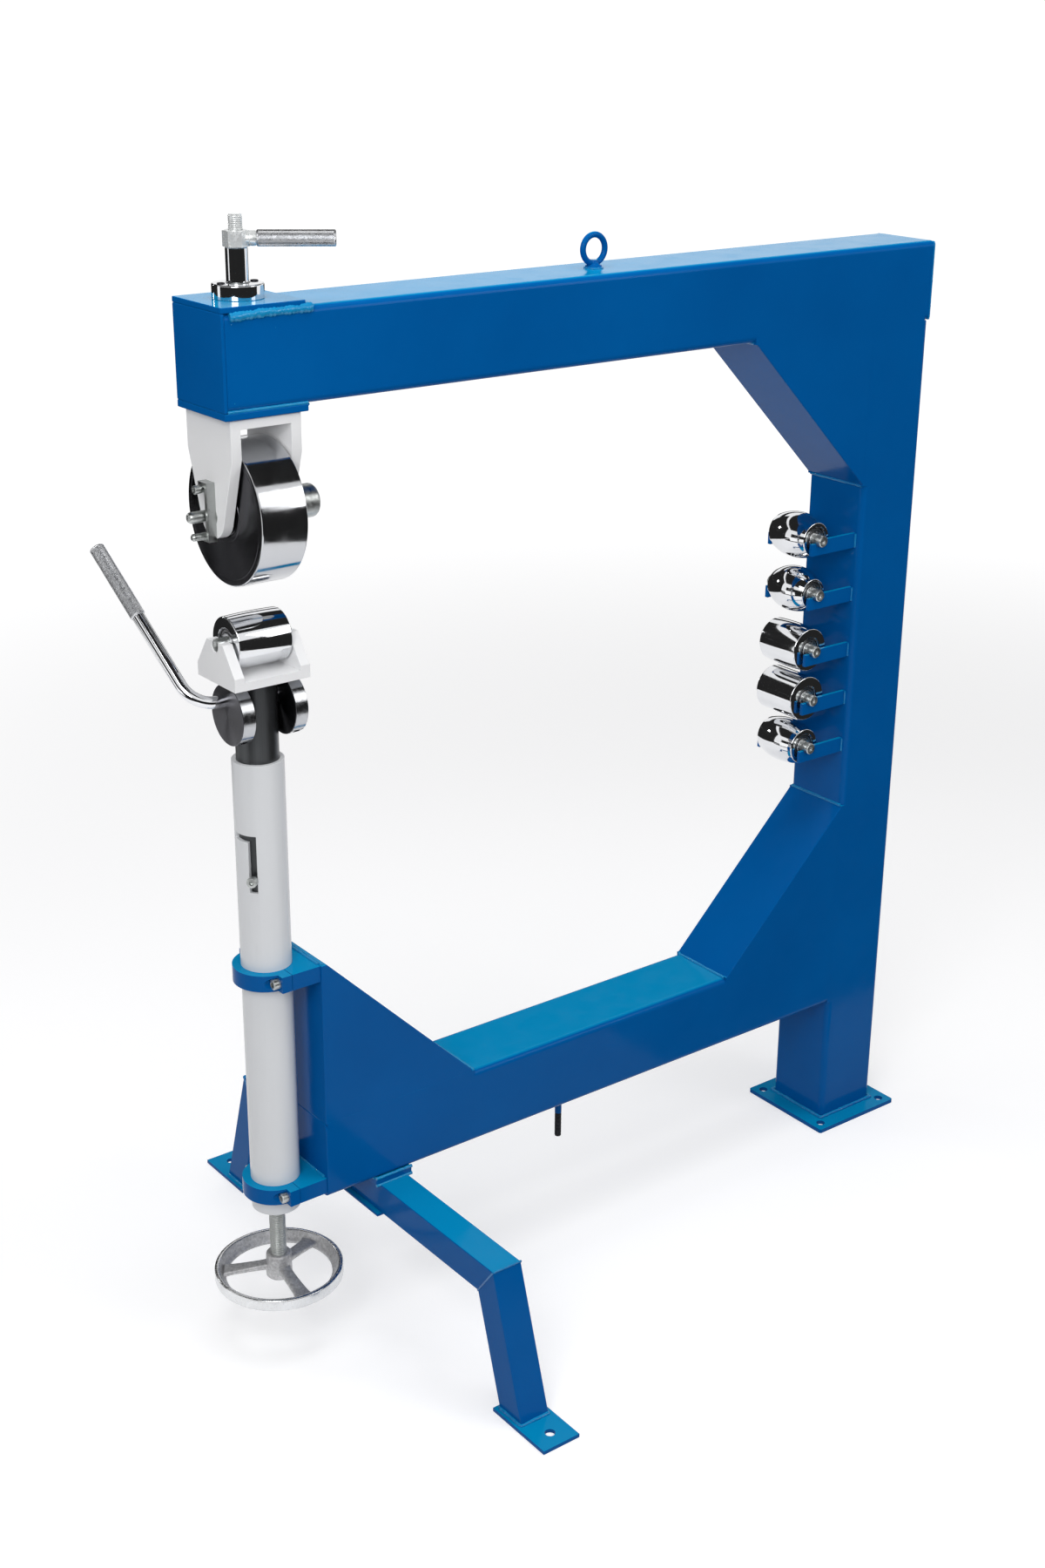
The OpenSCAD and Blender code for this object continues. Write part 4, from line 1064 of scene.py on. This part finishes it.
class ENGLISHWHEEL_OT_spindle(bpy.types.Operator):
    """Build the bush, collar, spindle, sleeve, lock nut and knurled lock handle"""

    bl_idname = "english_wheel.spindle"
    bl_label = "Spindle and lock"

    def execute(self, context):
        s = sizes()
        dress("spindle_bush", "head_bush", "column", 0.0, "frame", "dark_steel")
        self.collar_and_sleeve(s.steps)
        self.spindle(s.spindle_pitch)
        dress("lock_nut", "bright_lock_nut", "bright_zinc", s.fine_edge, "lock", "zinc_steel",
              28.0)
        self.lock_handle(s)
        return {"FINISHED"}

    def collar_and_sleeve(self, steps):
        """The chrome collar on the head, with two screws in its top, and the sleeve."""
        low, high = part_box("spindle_collar")
        foot = on_axis(low.z)
        radius, bore, screw = (high.y - low.y) / 2, SHANK_RADIUS + 0.00005, 0.0042
        tall = high.z - low.z - 0.001
        bm = bmesh.new()
        lathe(bm, foot, Z, [(bore, 0), (radius - 0.0006, 0), (radius, 0.0006),
                            (radius, tall - 0.0016), (radius - 0.0004, tall - 0.0006),
                            (radius - 0.0014, tall), (0.0130, tall), (bore, tall - 0.001)],
              steps)
        for side in (-1, 1):
            seat = foot + X * (side * (radius - 0.0075)) + Z * (tall - 0.003)
            socket_screw(bm, seat, Z, screw, screw, 0.0024, finish=1)
        complete(bm, "polished_collar", ["chrome", "oxide"], "frame", "chrome",
                 "spindle_collar", even=True)

        low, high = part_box("spindle_sleeve")
        radius, tall, edge = (high.y - low.y) / 2, high.z - low.z, 0.0008
        bm = bmesh.new()
        lathe(bm, on_axis(low.z), Z, [
            (THREAD_RADIUS, 0), (radius - edge, 0), (radius, edge), (radius, tall - edge),
            (radius - edge, tall), (THREAD_RADIUS, tall)], steps)
        complete(bm, "polished_sleeve", ["chrome"], "swivel", "chrome", "spindle_sleeve",
                 even=True)

    def spindle(self, pitch):
        """The plain shank up to the nut, and the thread from there to the top."""
        bottom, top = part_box("spindle")
        nut_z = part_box("lock_nut")[0].z
        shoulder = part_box("spindle_sleeve")[0].z - bottom.z
        seat, edge = nut_z - bottom.z, 0.0008
        bm = bmesh.new()
        lathe(bm, on_axis(bottom.z), Z, [
            (0, 0), (SHANK_RADIUS - edge, 0), (SHANK_RADIUS, edge), (SHANK_RADIUS, shoulder),
            (THREAD_RADIUS, shoulder), (THREAD_RADIUS, seat), (0, seat)], 64, closed=False)
        complete(bm, "spindle_shaft", ["zinc"], "swivel", "zinc_steel", "spindle")
        thread = grown("thread", "spindle_thread", {
            "Crest Radius": THREAD_RADIUS, "Pitch": pitch, "Length": top.z - nut_z - 0.0006,
            "Around": 40}, "bright_zinc", place=Matrix.Translation(on_axis(nut_z)))
        settle(thread, "swivel", "zinc_steel")

    def lock_handle(self, s):
        """The knurled grip that stands out of the lock nut, and the boss at its root."""
        low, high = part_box("lock_grip")
        centre = (low + high) / 2
        heading = Vector((centre.x - WHEEL_X, centre.y, 0)).normalized()
        axis_point = on_axis(centre.z)
        boss_start, grip_start, grip_length = 0.0122, 0.021, 0.080
        grip = grown("knurl", "knurled_lock_grip", {
            "Radius": (high.z - low.z) / 2, "Length": grip_length, "Cells": s.knurl_cells,
            "Depth": s.lock_knurl, "End": 0.0016}, "knurl",
            place=placed_along(axis_point + heading * grip_start, heading))
        settle(grip, "lock", "chrome", "lock_grip")
        bm = bmesh.new()
        lathe(bm, axis_point + heading * boss_start, heading, [
            (0, 0), (0.0050, 0), (0.0078, 0.0022), (0.0078, 0.0072), (0.0068, 0.0086),
            (0, 0.0086)], 48, closed=False)
        complete(bm, "lock_handle_boss", ["bright_zinc"], "lock", "zinc_steel")


class ENGLISHWHEEL_OT_upper_yoke(bpy.types.Operator):
    """Build the white upper yoke with its axle, keeper bar and studs"""

    bl_idname = "english_wheel.upper_yoke"
    bl_label = "Upper yoke"

    def execute(self, context):
        s = sizes()
        dress("upper_yoke", "white_upper_yoke", "white", s.plate_edge, "swivel", "white_paint")
        z = middle("upper_axle").z
        self.axle(z, s.steps)
        dress("axle_keeper", "keeper_bar", "zinc", s.fine_edge, "swivel", "zinc_steel")
        self.studs(z)
        return {"FINISHED"}

    def axle(self, z, steps):
        """The axle with its broad domed head beyond the rear cheek."""
        low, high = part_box("upper_axle")
        head = (high.z - low.z) / 2
        shank = 0.010
        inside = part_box("upper_yoke")[1].x - low.x
        out = high.x - low.x
        bm = bmesh.new()
        lathe(bm, Vector((low.x, 0, z)), X, [
            (0, 0), (shank - 0.0008, 0), (shank, 0.0008), (shank, inside),
            (head - 0.0012, inside), (head, inside + 0.0012), (head, out - 0.0050),
            (head - 0.0005, out - 0.0030), (head - 0.0019, out - 0.0012), (head - 0.0042, out),
            (0, out)], steps, closed=False)
        complete(bm, "upper_axle_bolt", ["zinc"], "swivel", "zinc_steel", "upper_axle",
                 even=True)

    def studs(self, z):
        """The keeper's screw above, a rounded stud through it and a plain stud below."""
        y = middle("keeper_pins").y
        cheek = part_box("upper_yoke")[0].x
        plain, above, bar = 0.0215, 0.029, 0.010
        bm = bmesh.new()
        lathe(bm, Vector((cheek, y, z - plain)), -X, [
            (0, 0), (BOLT_RADIUS, 0), (BOLT_RADIUS, 0.0212), (0.0032, 0.0222), (0.0025, 0.023),
            (0, 0.023)], 32, closed=False)
        lathe(bm, Vector((cheek - 0.003, y, z)), -X, [
            (0, 0), (0.00625, 0), (0.00625, 0.0185), (0.0058, 0.0212), (0.0044, 0.0230),
            (0.0022, 0.0239), (0, 0.0240)], 40, closed=False)
        rod(bm, Vector((cheek, y, z)), -X, BOLT_RADIUS, 0.0035, 24)
        socket_screw(bm, Vector((cheek - bar, y, z + above)), -X, 0.00475, 0.008, 0.0025)
        rod(bm, Vector((cheek, y, z + above)), -X, BOLT_RADIUS, bar + 0.0005, 24)
        complete(bm, "keeper_studs", ["zinc"], "swivel", "zinc_steel", "keeper_pins")


class ENGLISHWHEEL_OT_upper_wheel(bpy.types.Operator):
    """Turn the upper wheel with its hub rings, chamfers and running face"""

    bl_idname = "english_wheel.upper_wheel"
    bl_label = "Upper wheel"

    def execute(self, context):
        low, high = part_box("upper_wheel")
        radius = (high.z - low.z) / 2
        boss = (high.x - low.x) / 2
        side = boss - 0.0018
        half = [
            (0.01005, boss - 0.0006), (0.0107, boss), (0.0150, boss), (0.0153, boss - 0.0005),
            (0.0160, boss - 0.0005), (0.0163, boss), (0.0212, boss), (0.0220, boss - 0.0008),
            (0.0220, side - 0.0016), (0.0228, side - 0.0020), (0.0238, side - 0.0012),
            (0.0246, side - 0.0002), (0.0255, side), (0.0300, side), (0.0303, side - 0.0004),
            (0.0311, side - 0.0004), (0.0314, side), (radius - 0.0075, side),
            (radius - 0.0072, side - 0.0003), (radius - 0.0066, side - 0.0003),
            (radius - 0.0063, side), (radius - 0.0016, side), (radius - 0.0005, side - 0.0005),
            (radius, side - 0.0016)]
        profile = half + [(r, -a) for r, a in reversed(half)]
        rim = range(len(half) - 3, len(half) + 2)
        finishes = [1 if i in rim else 0 for i in range(len(profile))]
        bm = bmesh.new()
        lathe(bm, (low + high) / 2, X, profile, 160, finishes)
        complete(bm, "turned_upper_wheel", ["wheel_side", "wheel_face"], "wheel",
                 "polished_steel", "upper_wheel", even=True)
        return {"FINISHED"}


# Lift

class ENGLISHWHEEL_OT_lift(bpy.types.Operator):
    """Build the inner column, guide screw, lift screw and cast handwheel"""

    bl_idname = "english_wheel.lift"
    bl_label = "Column lift"

    def execute(self, context):
        s = sizes()
        dress("inner_column", "steel_inner_column", "column", s.fine_edge, "column",
              "dark_steel")
        self.guide_screw()
        self.lift_screw(s.lift_pitch)
        self.handwheel()
        dress("handwheel_nut", "handwheel_hex_nut", "zinc", s.fine_edge, "hand", "zinc_steel",
              28.0)
        return {"FINISHED"}

    def guide_screw(self):
        """A socket screw that stands out of the inner column, through the outer one's slot."""
        heading = level_way(219)
        axis_point = on_axis(middle("guide_screw").z)
        shank_start, head_start = 0.0195, 0.0298
        bm = bmesh.new()
        socket_screw(bm, axis_point + heading * head_start, heading, 0.006, 0.007, 0.0028)
        rod(bm, axis_point + heading * shank_start, heading, 0.0032, 0.0105, 24)
        complete(bm, "guide_socket_screw", ["zinc"], "column", "zinc_steel", "guide_screw")

    def lift_screw(self, pitch):
        """The thread, a plain foot under the handwheel and a plain end above the thread."""
        low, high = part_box("lift_screw")
        thread_foot, thread_top = 0.084, 0.4297
        stem, end, lap = 0.006, 0.008, 0.002
        end_tall = high.z - thread_top + lap
        thread = grown("thread", "lift_screw_thread", {
            "Crest Radius": (high.y - low.y) / 2, "Pitch": pitch,
            "Length": thread_top - thread_foot, "Around": 36}, "zinc",
            place=Matrix.Translation(on_axis(thread_foot)))
        settle(thread, "hand", "zinc_steel", "lift_screw")
        bm = bmesh.new()
        lathe(bm, on_axis(low.z), Z, [
            (0, 0), (stem - 0.0008, 0), (stem, 0.0008), (stem, 0.014), (0, 0.014)], 32,
            closed=False)
        lathe(bm, on_axis(thread_top - lap), Z, [
            (0, 0), (end, 0), (end, end_tall - 0.0005), (end - 0.0005, end_tall),
            (0, end_tall)], 40, closed=False)
        complete(bm, "lift_screw_ends", ["zinc"], "hand", "zinc_steel")

    def handwheel(self):
        """Rim with a machined band, three spokes and hub."""
        low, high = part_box("handwheel")
        rim_top, rim_tall = 0.092, 0.015
        rim = rim_top - rim_tall
        radius = (high.y - low.y) / 2
        centre = on_axis(0)
        bm = bmesh.new()
        section = [
            (radius - 0.0140, rim + 0.0006), (radius - 0.0132, rim), (radius - 0.0016, rim),
            (radius - 0.0003, rim + 0.0007), (radius, rim + 0.0018), (radius, rim + 0.0135),
            (radius - 0.0005, rim + 0.0146), (radius - 0.0016, rim_top),
            (radius - 0.0044, rim_top), (radius - 0.0054, rim_top - 0.0004),
            (radius - 0.0062, rim_top - 0.0016), (radius - 0.0090, rim + 0.0078),
            (radius - 0.0118, rim + 0.0042), (radius - 0.0136, rim + 0.0030)]
        machined = range(2, 9)
        lathe(bm, centre, Z, section, 144,
              [1 if i in machined else 0 for i in range(len(section))])
        hub, bore, boss = high.z - low.z, 0.0100, 0.0160
        lathe(bm, centre + Z * low.z, Z, [
            (bore, 0), (boss - 0.001, 0), (boss, 0.0012), (boss, 0.006), (0.0156, hub - 0.008),
            (0.0152, hub - 0.0014), (0.0140, hub), (bore, hub)], 64)
        for heading in (25, 145, 265):
            self.spoke(bm, centre, level_way(heading), bore, radius - 0.0115)
        complete(bm, "cast_handwheel", ["cast", "machined"], "hand", "cast_aluminium",
                 "handwheel", smooth_below=50.0)

    def spoke(self, bm, centre, out, root, tip):
        """One spoke, which widens towards the rim, flares at both ends and slopes down."""
        side = Vector((-out.y, out.x, 0))
        root_z, tip_z, sides, squareness = 0.0912, 0.0822, 20, 0.55
        rings = []
        for t in (0.0, 0.08, 0.2, 0.4, 0.6, 0.8, 0.92, 1.0):
            flare = 0.0024 * (math.exp(-t / 0.12) + math.exp(-(1 - t) / 0.08))
            wide = 0.0066 + 0.0028 * t + flare
            deep = 0.0041 - 0.0009 * t + flare * 0.5
            place = centre + out * (root + t * (tip - root)) + Z * (root_z + (tip_z - root_z) * t)
            rings.append([bm.verts.new(
                place + side * (wide * math.copysign(abs(c) ** squareness, c))
                + Z * (deep * math.copysign(abs(d) ** squareness, d)))
                for c, d in circle(sides)])
        skin(bm, rings)


class ENGLISHWHEEL_OT_cam(bpy.types.Operator):
    """Build the bent lever, its knurled grip and the two eccentric discs"""

    bl_idname = "english_wheel.cam"
    bl_label = "Cam lift"

    # Lengths of the lever between its bend and its grip, and of the grip
    STRAIGHT = 0.092
    GRIP = 0.092

    def execute(self, context):
        s = sizes()
        origin = on_axis(ROD_Z)
        elbow, ahead = self.lever(origin)
        grip = grown("knurl", "knurled_lever_grip", {
            "Radius": 0.0085, "Length": self.GRIP, "Cells": s.knurl_cells + 6,
            "Depth": s.lever_knurl, "End": 0.0018}, "knurl",
            place=placed_along(elbow + ahead * self.STRAIGHT, ahead))
        settle(grip, "cam", "chrome", "lever_grip")
        self.discs(origin)
        return {"FINISHED"}

    def lever(self, origin):
        """The rod through the column's head and its bend; returns the bend's end and way."""
        rise, bend = math.radians(45), math.radians(82)
        far_end, near_end, bend_radius, stock, steps = 0.0405, 0.048, 0.032, 0.007, 24
        up = Vector((0, math.cos(rise), math.sin(rise)))
        points = [origin + X * far_end, origin + X * (far_end - 0.0005), origin - X * 0.02,
                  origin - X * near_end]
        for k in range(1, steps + 1):
            a = -math.pi / 2 - bend * k / steps
            points.append(origin + X * (-near_end + bend_radius * math.cos(a))
                          + up * (bend_radius + bend_radius * math.sin(a)))
        ahead = (X * -math.cos(bend) + up * math.sin(bend)).normalized()
        elbow = points[-1]
        points += [elbow + ahead * reach for reach in (0.03, 0.06, self.STRAIGHT + 0.004)]
        bm = bmesh.new()
        sweep(bm, points, [stock - 0.0004] + [stock] * (len(points) - 1), 40)
        complete(bm, "bent_lever", ["chrome"], "cam", "chrome", "cam_lever", smooth_below=50.0)
        return elbow, ahead

    def discs(self, origin):
        """The two eccentric discs; the sockets of their set screws are black."""
        lean = math.radians(35)
        aim = Vector((0, -math.sin(lean), -math.cos(lean)))
        low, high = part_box("cam_discs")
        half_apart = (high.x - low.x) / 2 - 0.008
        screw = 0.0044

        def pick(point, normal):
            away = point - origin
            towards = away.dot(aim)
            off_middle = abs(abs(away.x) - half_apart)
            aside = (away - aim * towards - X * away.x).length
            if towards > 0.01 and off_middle < screw and aside < screw:
                return 2
            return 0 if abs(normal.x) > 0.6 else 1

        piece = dressed("cam_discs", "eccentric_discs", ["cam_side", "cam_rim", "oxide"],
                        0.0003, 2, pick)
        settle(piece, "cam", "dark_steel", "cam_discs")


# Anvils

def anvil(name, node, axis, body, crown):
    """One roller: crowned face, rounded shoulders and a ball bearing in each end."""
    low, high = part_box(node)
    radius, half = (high.z - low.z) / 2, (high - low).dot(axis) / 2
    polished, ground, seal, shield = range(4)
    soft, corner_steps, crown_steps = 0.0015, 6, 24
    flat = half - soft
    arc = (flat * flat + crown * crown) / (2 * crown) if crown > 0 else 0.0
    profile = [
        (0.00755, half - 0.0013), (0.0079, half - 0.0010), (0.0104, half - 0.0010),
        (0.0108, half - 0.0014), (0.0109, half - 0.0030), (0.0114, half - 0.0030),
        (0.0118, half - 0.0022), (0.0146, half - 0.0020), (0.0150, half - 0.0029),
        (0.0153, half - 0.0029), (0.0155, half - 0.0016), (0.0157, half - 0.0013),
        (0.0167, half - 0.0013), (0.0169, half - 0.0017), (0.0170, half - 0.0018),
        (0.0171, half - 0.0006), (0.0176, half)]
    bands = [ground] * 4 + [seal] * 2 + [shield] * 2 + [seal] * 2 + [ground] * 3
    shoulder = radius - crown
    profile.append((shoulder - soft - 0.0008, half))
    for k in range(1, corner_steps):
        a = math.pi / 2 * (1 - k / corner_steps)
        profile.append((shoulder - soft + soft * math.cos(a), half - soft + soft * math.sin(a)))
    bands += [polished] * (len(profile) - len(bands))
    count = crown_steps if crown > 0 else corner_steps
    face = []
    for k in range(count + 1):
        t = flat * (1 - 2 * k / count)
        r = radius - arc + math.sqrt(arc * arc - t * t) if crown > 0 else radius
        face.append((r, t))
    mirrored = [(r, -a) for r, a in reversed(profile)]
    bands += [polished] * len(face) + bands[-2::-1] + [ground]
    bm = bmesh.new()
    lathe(bm, (low + high) / 2, axis, profile + face + mirrored, sizes().steps, bands)
    complete(bm, name, ["chrome", "knurl", "oxide", "shield"], body, "chrome", node, even=True,
             smooth_below=30.0)


def axle(name, node, axis, body):
    """A plated axle with chamfered, centre-drilled ends."""
    low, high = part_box(node)
    span = (high - low).dot(axis)
    radius = (high.z - low.z) / 2
    chamfer = 0.0011
    profile = [(0, 0.0022), (0.0014, 0.0006), (0.0022, 0), (radius - chamfer, 0),
               (radius, chamfer)]
    profile += [(r, span - a) for r, a in reversed(profile)]
    bm = bmesh.new()
    lathe(bm, (low + high) / 2 - axis * (span / 2), axis, profile, 48, closed=False)
    complete(bm, name, ["zinc"], body, "zinc_steel", node)


class ENGLISHWHEEL_OT_anvils(bpy.types.Operator):
    """Build the anvil yoke, the working anvil and the five spare anvils with their axles"""

    bl_idname = "english_wheel.anvils"
    bl_label = "Anvils"

    def execute(self, context):
        s = sizes()
        dress("anvil_yoke", "white_anvil_yoke", "white", s.plate_edge, "yoke", "white_paint")
        axle("working_anvil_axle", "working_axle", X, "yoke")
        anvil("chrome_working_anvil", "working_anvil", X, "anvil", s.working_crown)
        for i in SPARES:
            anvil(f"chrome_spare_anvil_{i}", f"spare_anvil_{i}", Y, f"spare_roll_{i}",
                  s.crowns[i - 1])
            axle(f"spare_anvil_axle_{i}", f"spare_axle_{i}", Y, f"spare_{i}")
        return {"FINISHED"}


# Stage

AZIMUTH, ELEVATION, ROLL = -37.523, 21.600, 0.441
DISTANCE = 2.56299
TARGET = Vector((-0.56596, 0.0, 0.63576))

# Focal length in pixels of a picture that is this many pixels high, and the sensor in mm
FOCAL_PIXELS = 2394.5
PICTURE_PIXELS = 1800
SENSOR = 36

# Light that the world gives to what isn't seen directly, and the floor's near and far glow
FILL = 0.35
FLOOR_LIFT = (0.50, 0.86)

# Height of the dark cards that lie just above the floor
CARD_Z = 0.002


def card(name, corners, finish, glossy_only=True):
    """A flat stage panel; most of them only show in polished metal and gloss paint."""
    mesh = bpy.data.meshes.new(name)
    mesh.from_pydata(corners, [], [(0, 1, 2, 3)])
    panel = bpy.data.objects.new(name, mesh)
    bpy.context.scene.collection.objects.link(panel)
    mesh.materials.append(finish)
    if glossy_only:
        panel.visible_camera = False
        panel.visible_diffuse = False
        panel.visible_shadow = False
        panel.visible_transmission = False


def shown(data, kind):
    """An empty node tree of a new world or material, and its output."""
    data.use_nodes = True
    tree = data.node_tree
    tree.nodes.clear()
    return tree, tree.nodes.new(kind)


def glow(name, radiance):
    """A material that gives the same light everywhere."""
    made = bpy.data.materials.new(name)
    tree, out = shown(made, "ShaderNodeOutputMaterial")
    light = add(tree, "ShaderNodeEmission", {"Color": (1, 1, 1, 1), "Strength": radiance})
    tree.links.new(light.outputs[0], out.inputs[0])
    return made


def seen_directly(tree):
    """1 for camera, glossy and transmission rays."""
    path = add(tree, "ShaderNodeLightPath").outputs
    either = maths(tree, "MAXIMUM", path["Is Camera Ray"], path["Is Glossy Ray"])
    return maths(tree, "MAXIMUM", either, path["Is Transmission Ray"])


def area_lamp(name, place, aim, size, power, glossy=True):
    """A rectangular lamp at a place, aimed at a point."""
    lamp = bpy.data.lights.new(name, "AREA")
    lamp.shape = "RECTANGLE"
    lamp.size, lamp.size_y = size
    lamp.energy = power
    made = bpy.data.objects.new(name, lamp)
    bpy.context.scene.collection.objects.link(made)
    made.location = place
    made.rotation_mode = "QUATERNION"
    made.rotation_quaternion = (Vector(aim) - Vector(place)).to_track_quat("-Z", "Y")
    made.visible_glossy = glossy


def set_camera(scene):
    """The camera that sees the machine as the photo does."""
    az, el, roll = (math.radians(v) for v in (AZIMUTH, ELEVATION, ROLL))
    back = Vector((math.sin(az) * math.cos(el), -math.cos(az) * math.cos(el), math.sin(el)))
    right = Vector((math.cos(az), math.sin(az), 0))
    up = back.cross(right)
    turned_right = right * math.cos(roll) + up * math.sin(roll)
    turned_up = up * math.cos(roll) - right * math.sin(roll)
    camera = bpy.data.cameras.new("camera")
    camera.lens = FOCAL_PIXELS * SENSOR / PICTURE_PIXELS
    camera.sensor_width = SENSOR
    camera.clip_start, camera.clip_end = 0.05, 100
    seat = bpy.data.objects.new("camera", camera)
    scene.collection.objects.link(seat)
    turn = Matrix((turned_right, turned_up, back)).transposed().to_4x4()
    seat.matrix_world = Matrix.Translation(TARGET + back * DISTANCE) @ turn
    scene.camera = seat


def set_world(scene):
    """White where it is seen directly, and a weaker fill light elsewhere."""
    scene.world = bpy.data.worlds.new("studio")
    tree, out = shown(scene.world, "ShaderNodeOutputWorld")
    seen = seen_directly(tree)
    strength = maths(tree, "ADD", maths(tree, "MULTIPLY", seen, 1.0 - FILL), FILL)
    sky = add(tree, "ShaderNodeBackground", {"Color": (1, 1, 1, 1), "Strength": strength})
    tree.links.new(sky.outputs[0], out.inputs[0])


def pale_floor():
    """A matt floor that keeps shadows and grows lighter with the distance."""
    made = bpy.data.materials.new("pale_floor")
    tree, out = shown(made, "ShaderNodeOutputMaterial")
    seen = seen_directly(tree)
    place = add(tree, "ShaderNodeNewGeometry").outputs["Position"]
    away = add(tree, "ShaderNodeVectorMath", {0: place}, operation="LENGTH").outputs["Value"]
    near, far = FLOOR_LIFT
    lift = add(tree, "ShaderNodeMapRange",
               {"Value": away, "From Min": 1.3, "From Max": 4.5, "To Min": near,
                "To Max": far}, interpolation_type="SMOOTHSTEP").outputs["Result"]
    matt = add(tree, "ShaderNodeBsdfDiffuse", {"Color": (0.60, 0.60, 0.61, 1)})
    light = add(tree, "ShaderNodeEmission",
                {"Color": (1, 1, 1, 1), "Strength": maths(tree, "MULTIPLY", seen, lift)})
    both = add(tree, "ShaderNodeAddShader", {0: matt.outputs[0], 1: light.outputs[0]})
    tree.links.new(both.outputs[0], out.inputs[0])
    return made


class ENGLISHWHEEL_OT_stage(bpy.types.Operator):
    """Make the camera, the pale floor, the lamps and the cards that the gloss reflects"""

    bl_idname = "english_wheel.stage"
    bl_label = "Stage"

    def execute(self, context):
        scene = context.scene
        set_camera(scene)
        set_world(scene)
        card("floor", level(-120, 120, -120, 120, 0), pale_floor(), False)

        dark, back, strip = (glow(*given) for given in (
            ("dark_room", 0.02), ("back_light", 1.0), ("strip_light", 1.2)))
        for name, corners, finish in (
                ("front_wall", wall(-5, -3.4, 5, -3.4, 0, 1.95), dark),
                ("back_wall", wall(-6, 4, 8, 4, 0, 1.25), dark),
                ("back_left_wall", wall(-6, 3.98, 0.8, 3.98, 1.25, 4.6), dark),
                ("back_top_wall", wall(0.8, 4, 8, 4, 2.5, 3.4), dark),
                ("left_wall", wall(-4.4, -3.4, -4.4, 1.5, 0, 1.9), dark),
                ("ceiling", level(-4.5, 4.5, -2.2, 2.2, 3.4), dark),
                ("front_floor", level(-6, 6, -3.4, -2.2, CARD_Z), dark),
                ("left_floor", level(-6, -2.3, -2.2, 1.7, CARD_Z), dark),
                ("right_floor", level(-0.12, 6, -2.2, -0.3, CARD_Z), dark),
                ("back_floor", level(-6, 6, 1.9, 4, CARD_Z), dark),
                ("back_light", wall(0.8, 4, 8, 4, 1.25, 2.5), back),
                ("left_strip", wall(-2.80, -0.38, -2.58, 0.97, 0.05, 0.8), strip)):
            card(name, corners, finish)

        area_lamp("overhead", (-0.6, -0.2, 2.9), (-0.5, 0, 0.5), (2.2, 1.6), 34, False)
        area_lamp("left_front", (-2.5, -1.6, 2.2), (-0.8, 0, 0.9), (1.2, 1.6), 34)
        area_lamp("right_front", (1.2, -2.6, 2.2), (-0.4, 0, 0.8), (1.2, 1.6), 16)
        area_lamp("left_back", (-1.78, 2.8, 1.8), (-0.94, 0, 1.0), (0.25, 0.25), 5)
        scene.view_settings.view_transform = "Standard"
        return {"FINISHED"}


# Panel and run

ORDER = (
    ENGLISHWHEEL_OT_finishes, ENGLISHWHEEL_OT_frame, ENGLISHWHEEL_OT_legs,
    ENGLISHWHEEL_OT_welds, ENGLISHWHEEL_OT_rack, ENGLISHWHEEL_OT_fittings,
    ENGLISHWHEEL_OT_column, ENGLISHWHEEL_OT_spindle, ENGLISHWHEEL_OT_upper_yoke,
    ENGLISHWHEEL_OT_upper_wheel, ENGLISHWHEEL_OT_lift, ENGLISHWHEEL_OT_cam,
    ENGLISHWHEEL_OT_anvils, ENGLISHWHEEL_OT_stage,
)


class ENGLISHWHEEL_PT_panel(bpy.types.Panel):
    """Sizes, colours and the operators that build the machine"""

    bl_idname = "ENGLISHWHEEL_PT_panel"
    bl_label = "English Wheel"
    bl_space_type = "VIEW_3D"
    bl_region_type = "UI"
    bl_category = "English Wheel"

    def draw(self, context):
        layout = self.layout
        for group in (context.scene.english_wheel_sizes, context.scene.english_wheel_colours):
            column = layout.column(align=True)
            for key in group.bl_rna.properties.keys():
                if key not in ("rna_type", "name"):
                    column.prop(group, key)
        for operator in ORDER:
            layout.operator(operator.bl_idname)


CLASSES = (EnglishWheelSizes, EnglishWheelColours, *ORDER, ENGLISHWHEEL_PT_panel)


def register():
    for cls in CLASSES:
        bpy.utils.register_class(cls)
    bpy.types.Scene.english_wheel_sizes = PointerProperty(type=EnglishWheelSizes)
    bpy.types.Scene.english_wheel_colours = PointerProperty(type=EnglishWheelColours)


def unregister():
    del bpy.types.Scene.english_wheel_colours
    del bpy.types.Scene.english_wheel_sizes
    for cls in reversed(CLASSES):
        bpy.utils.unregister_class(cls)


def main():
    register()
    for operator in ORDER:
        group, name = operator.bl_idname.split(".")
        getattr(getattr(bpy.ops, group), name)()
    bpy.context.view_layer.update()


if __name__ == "__main__":
    main()
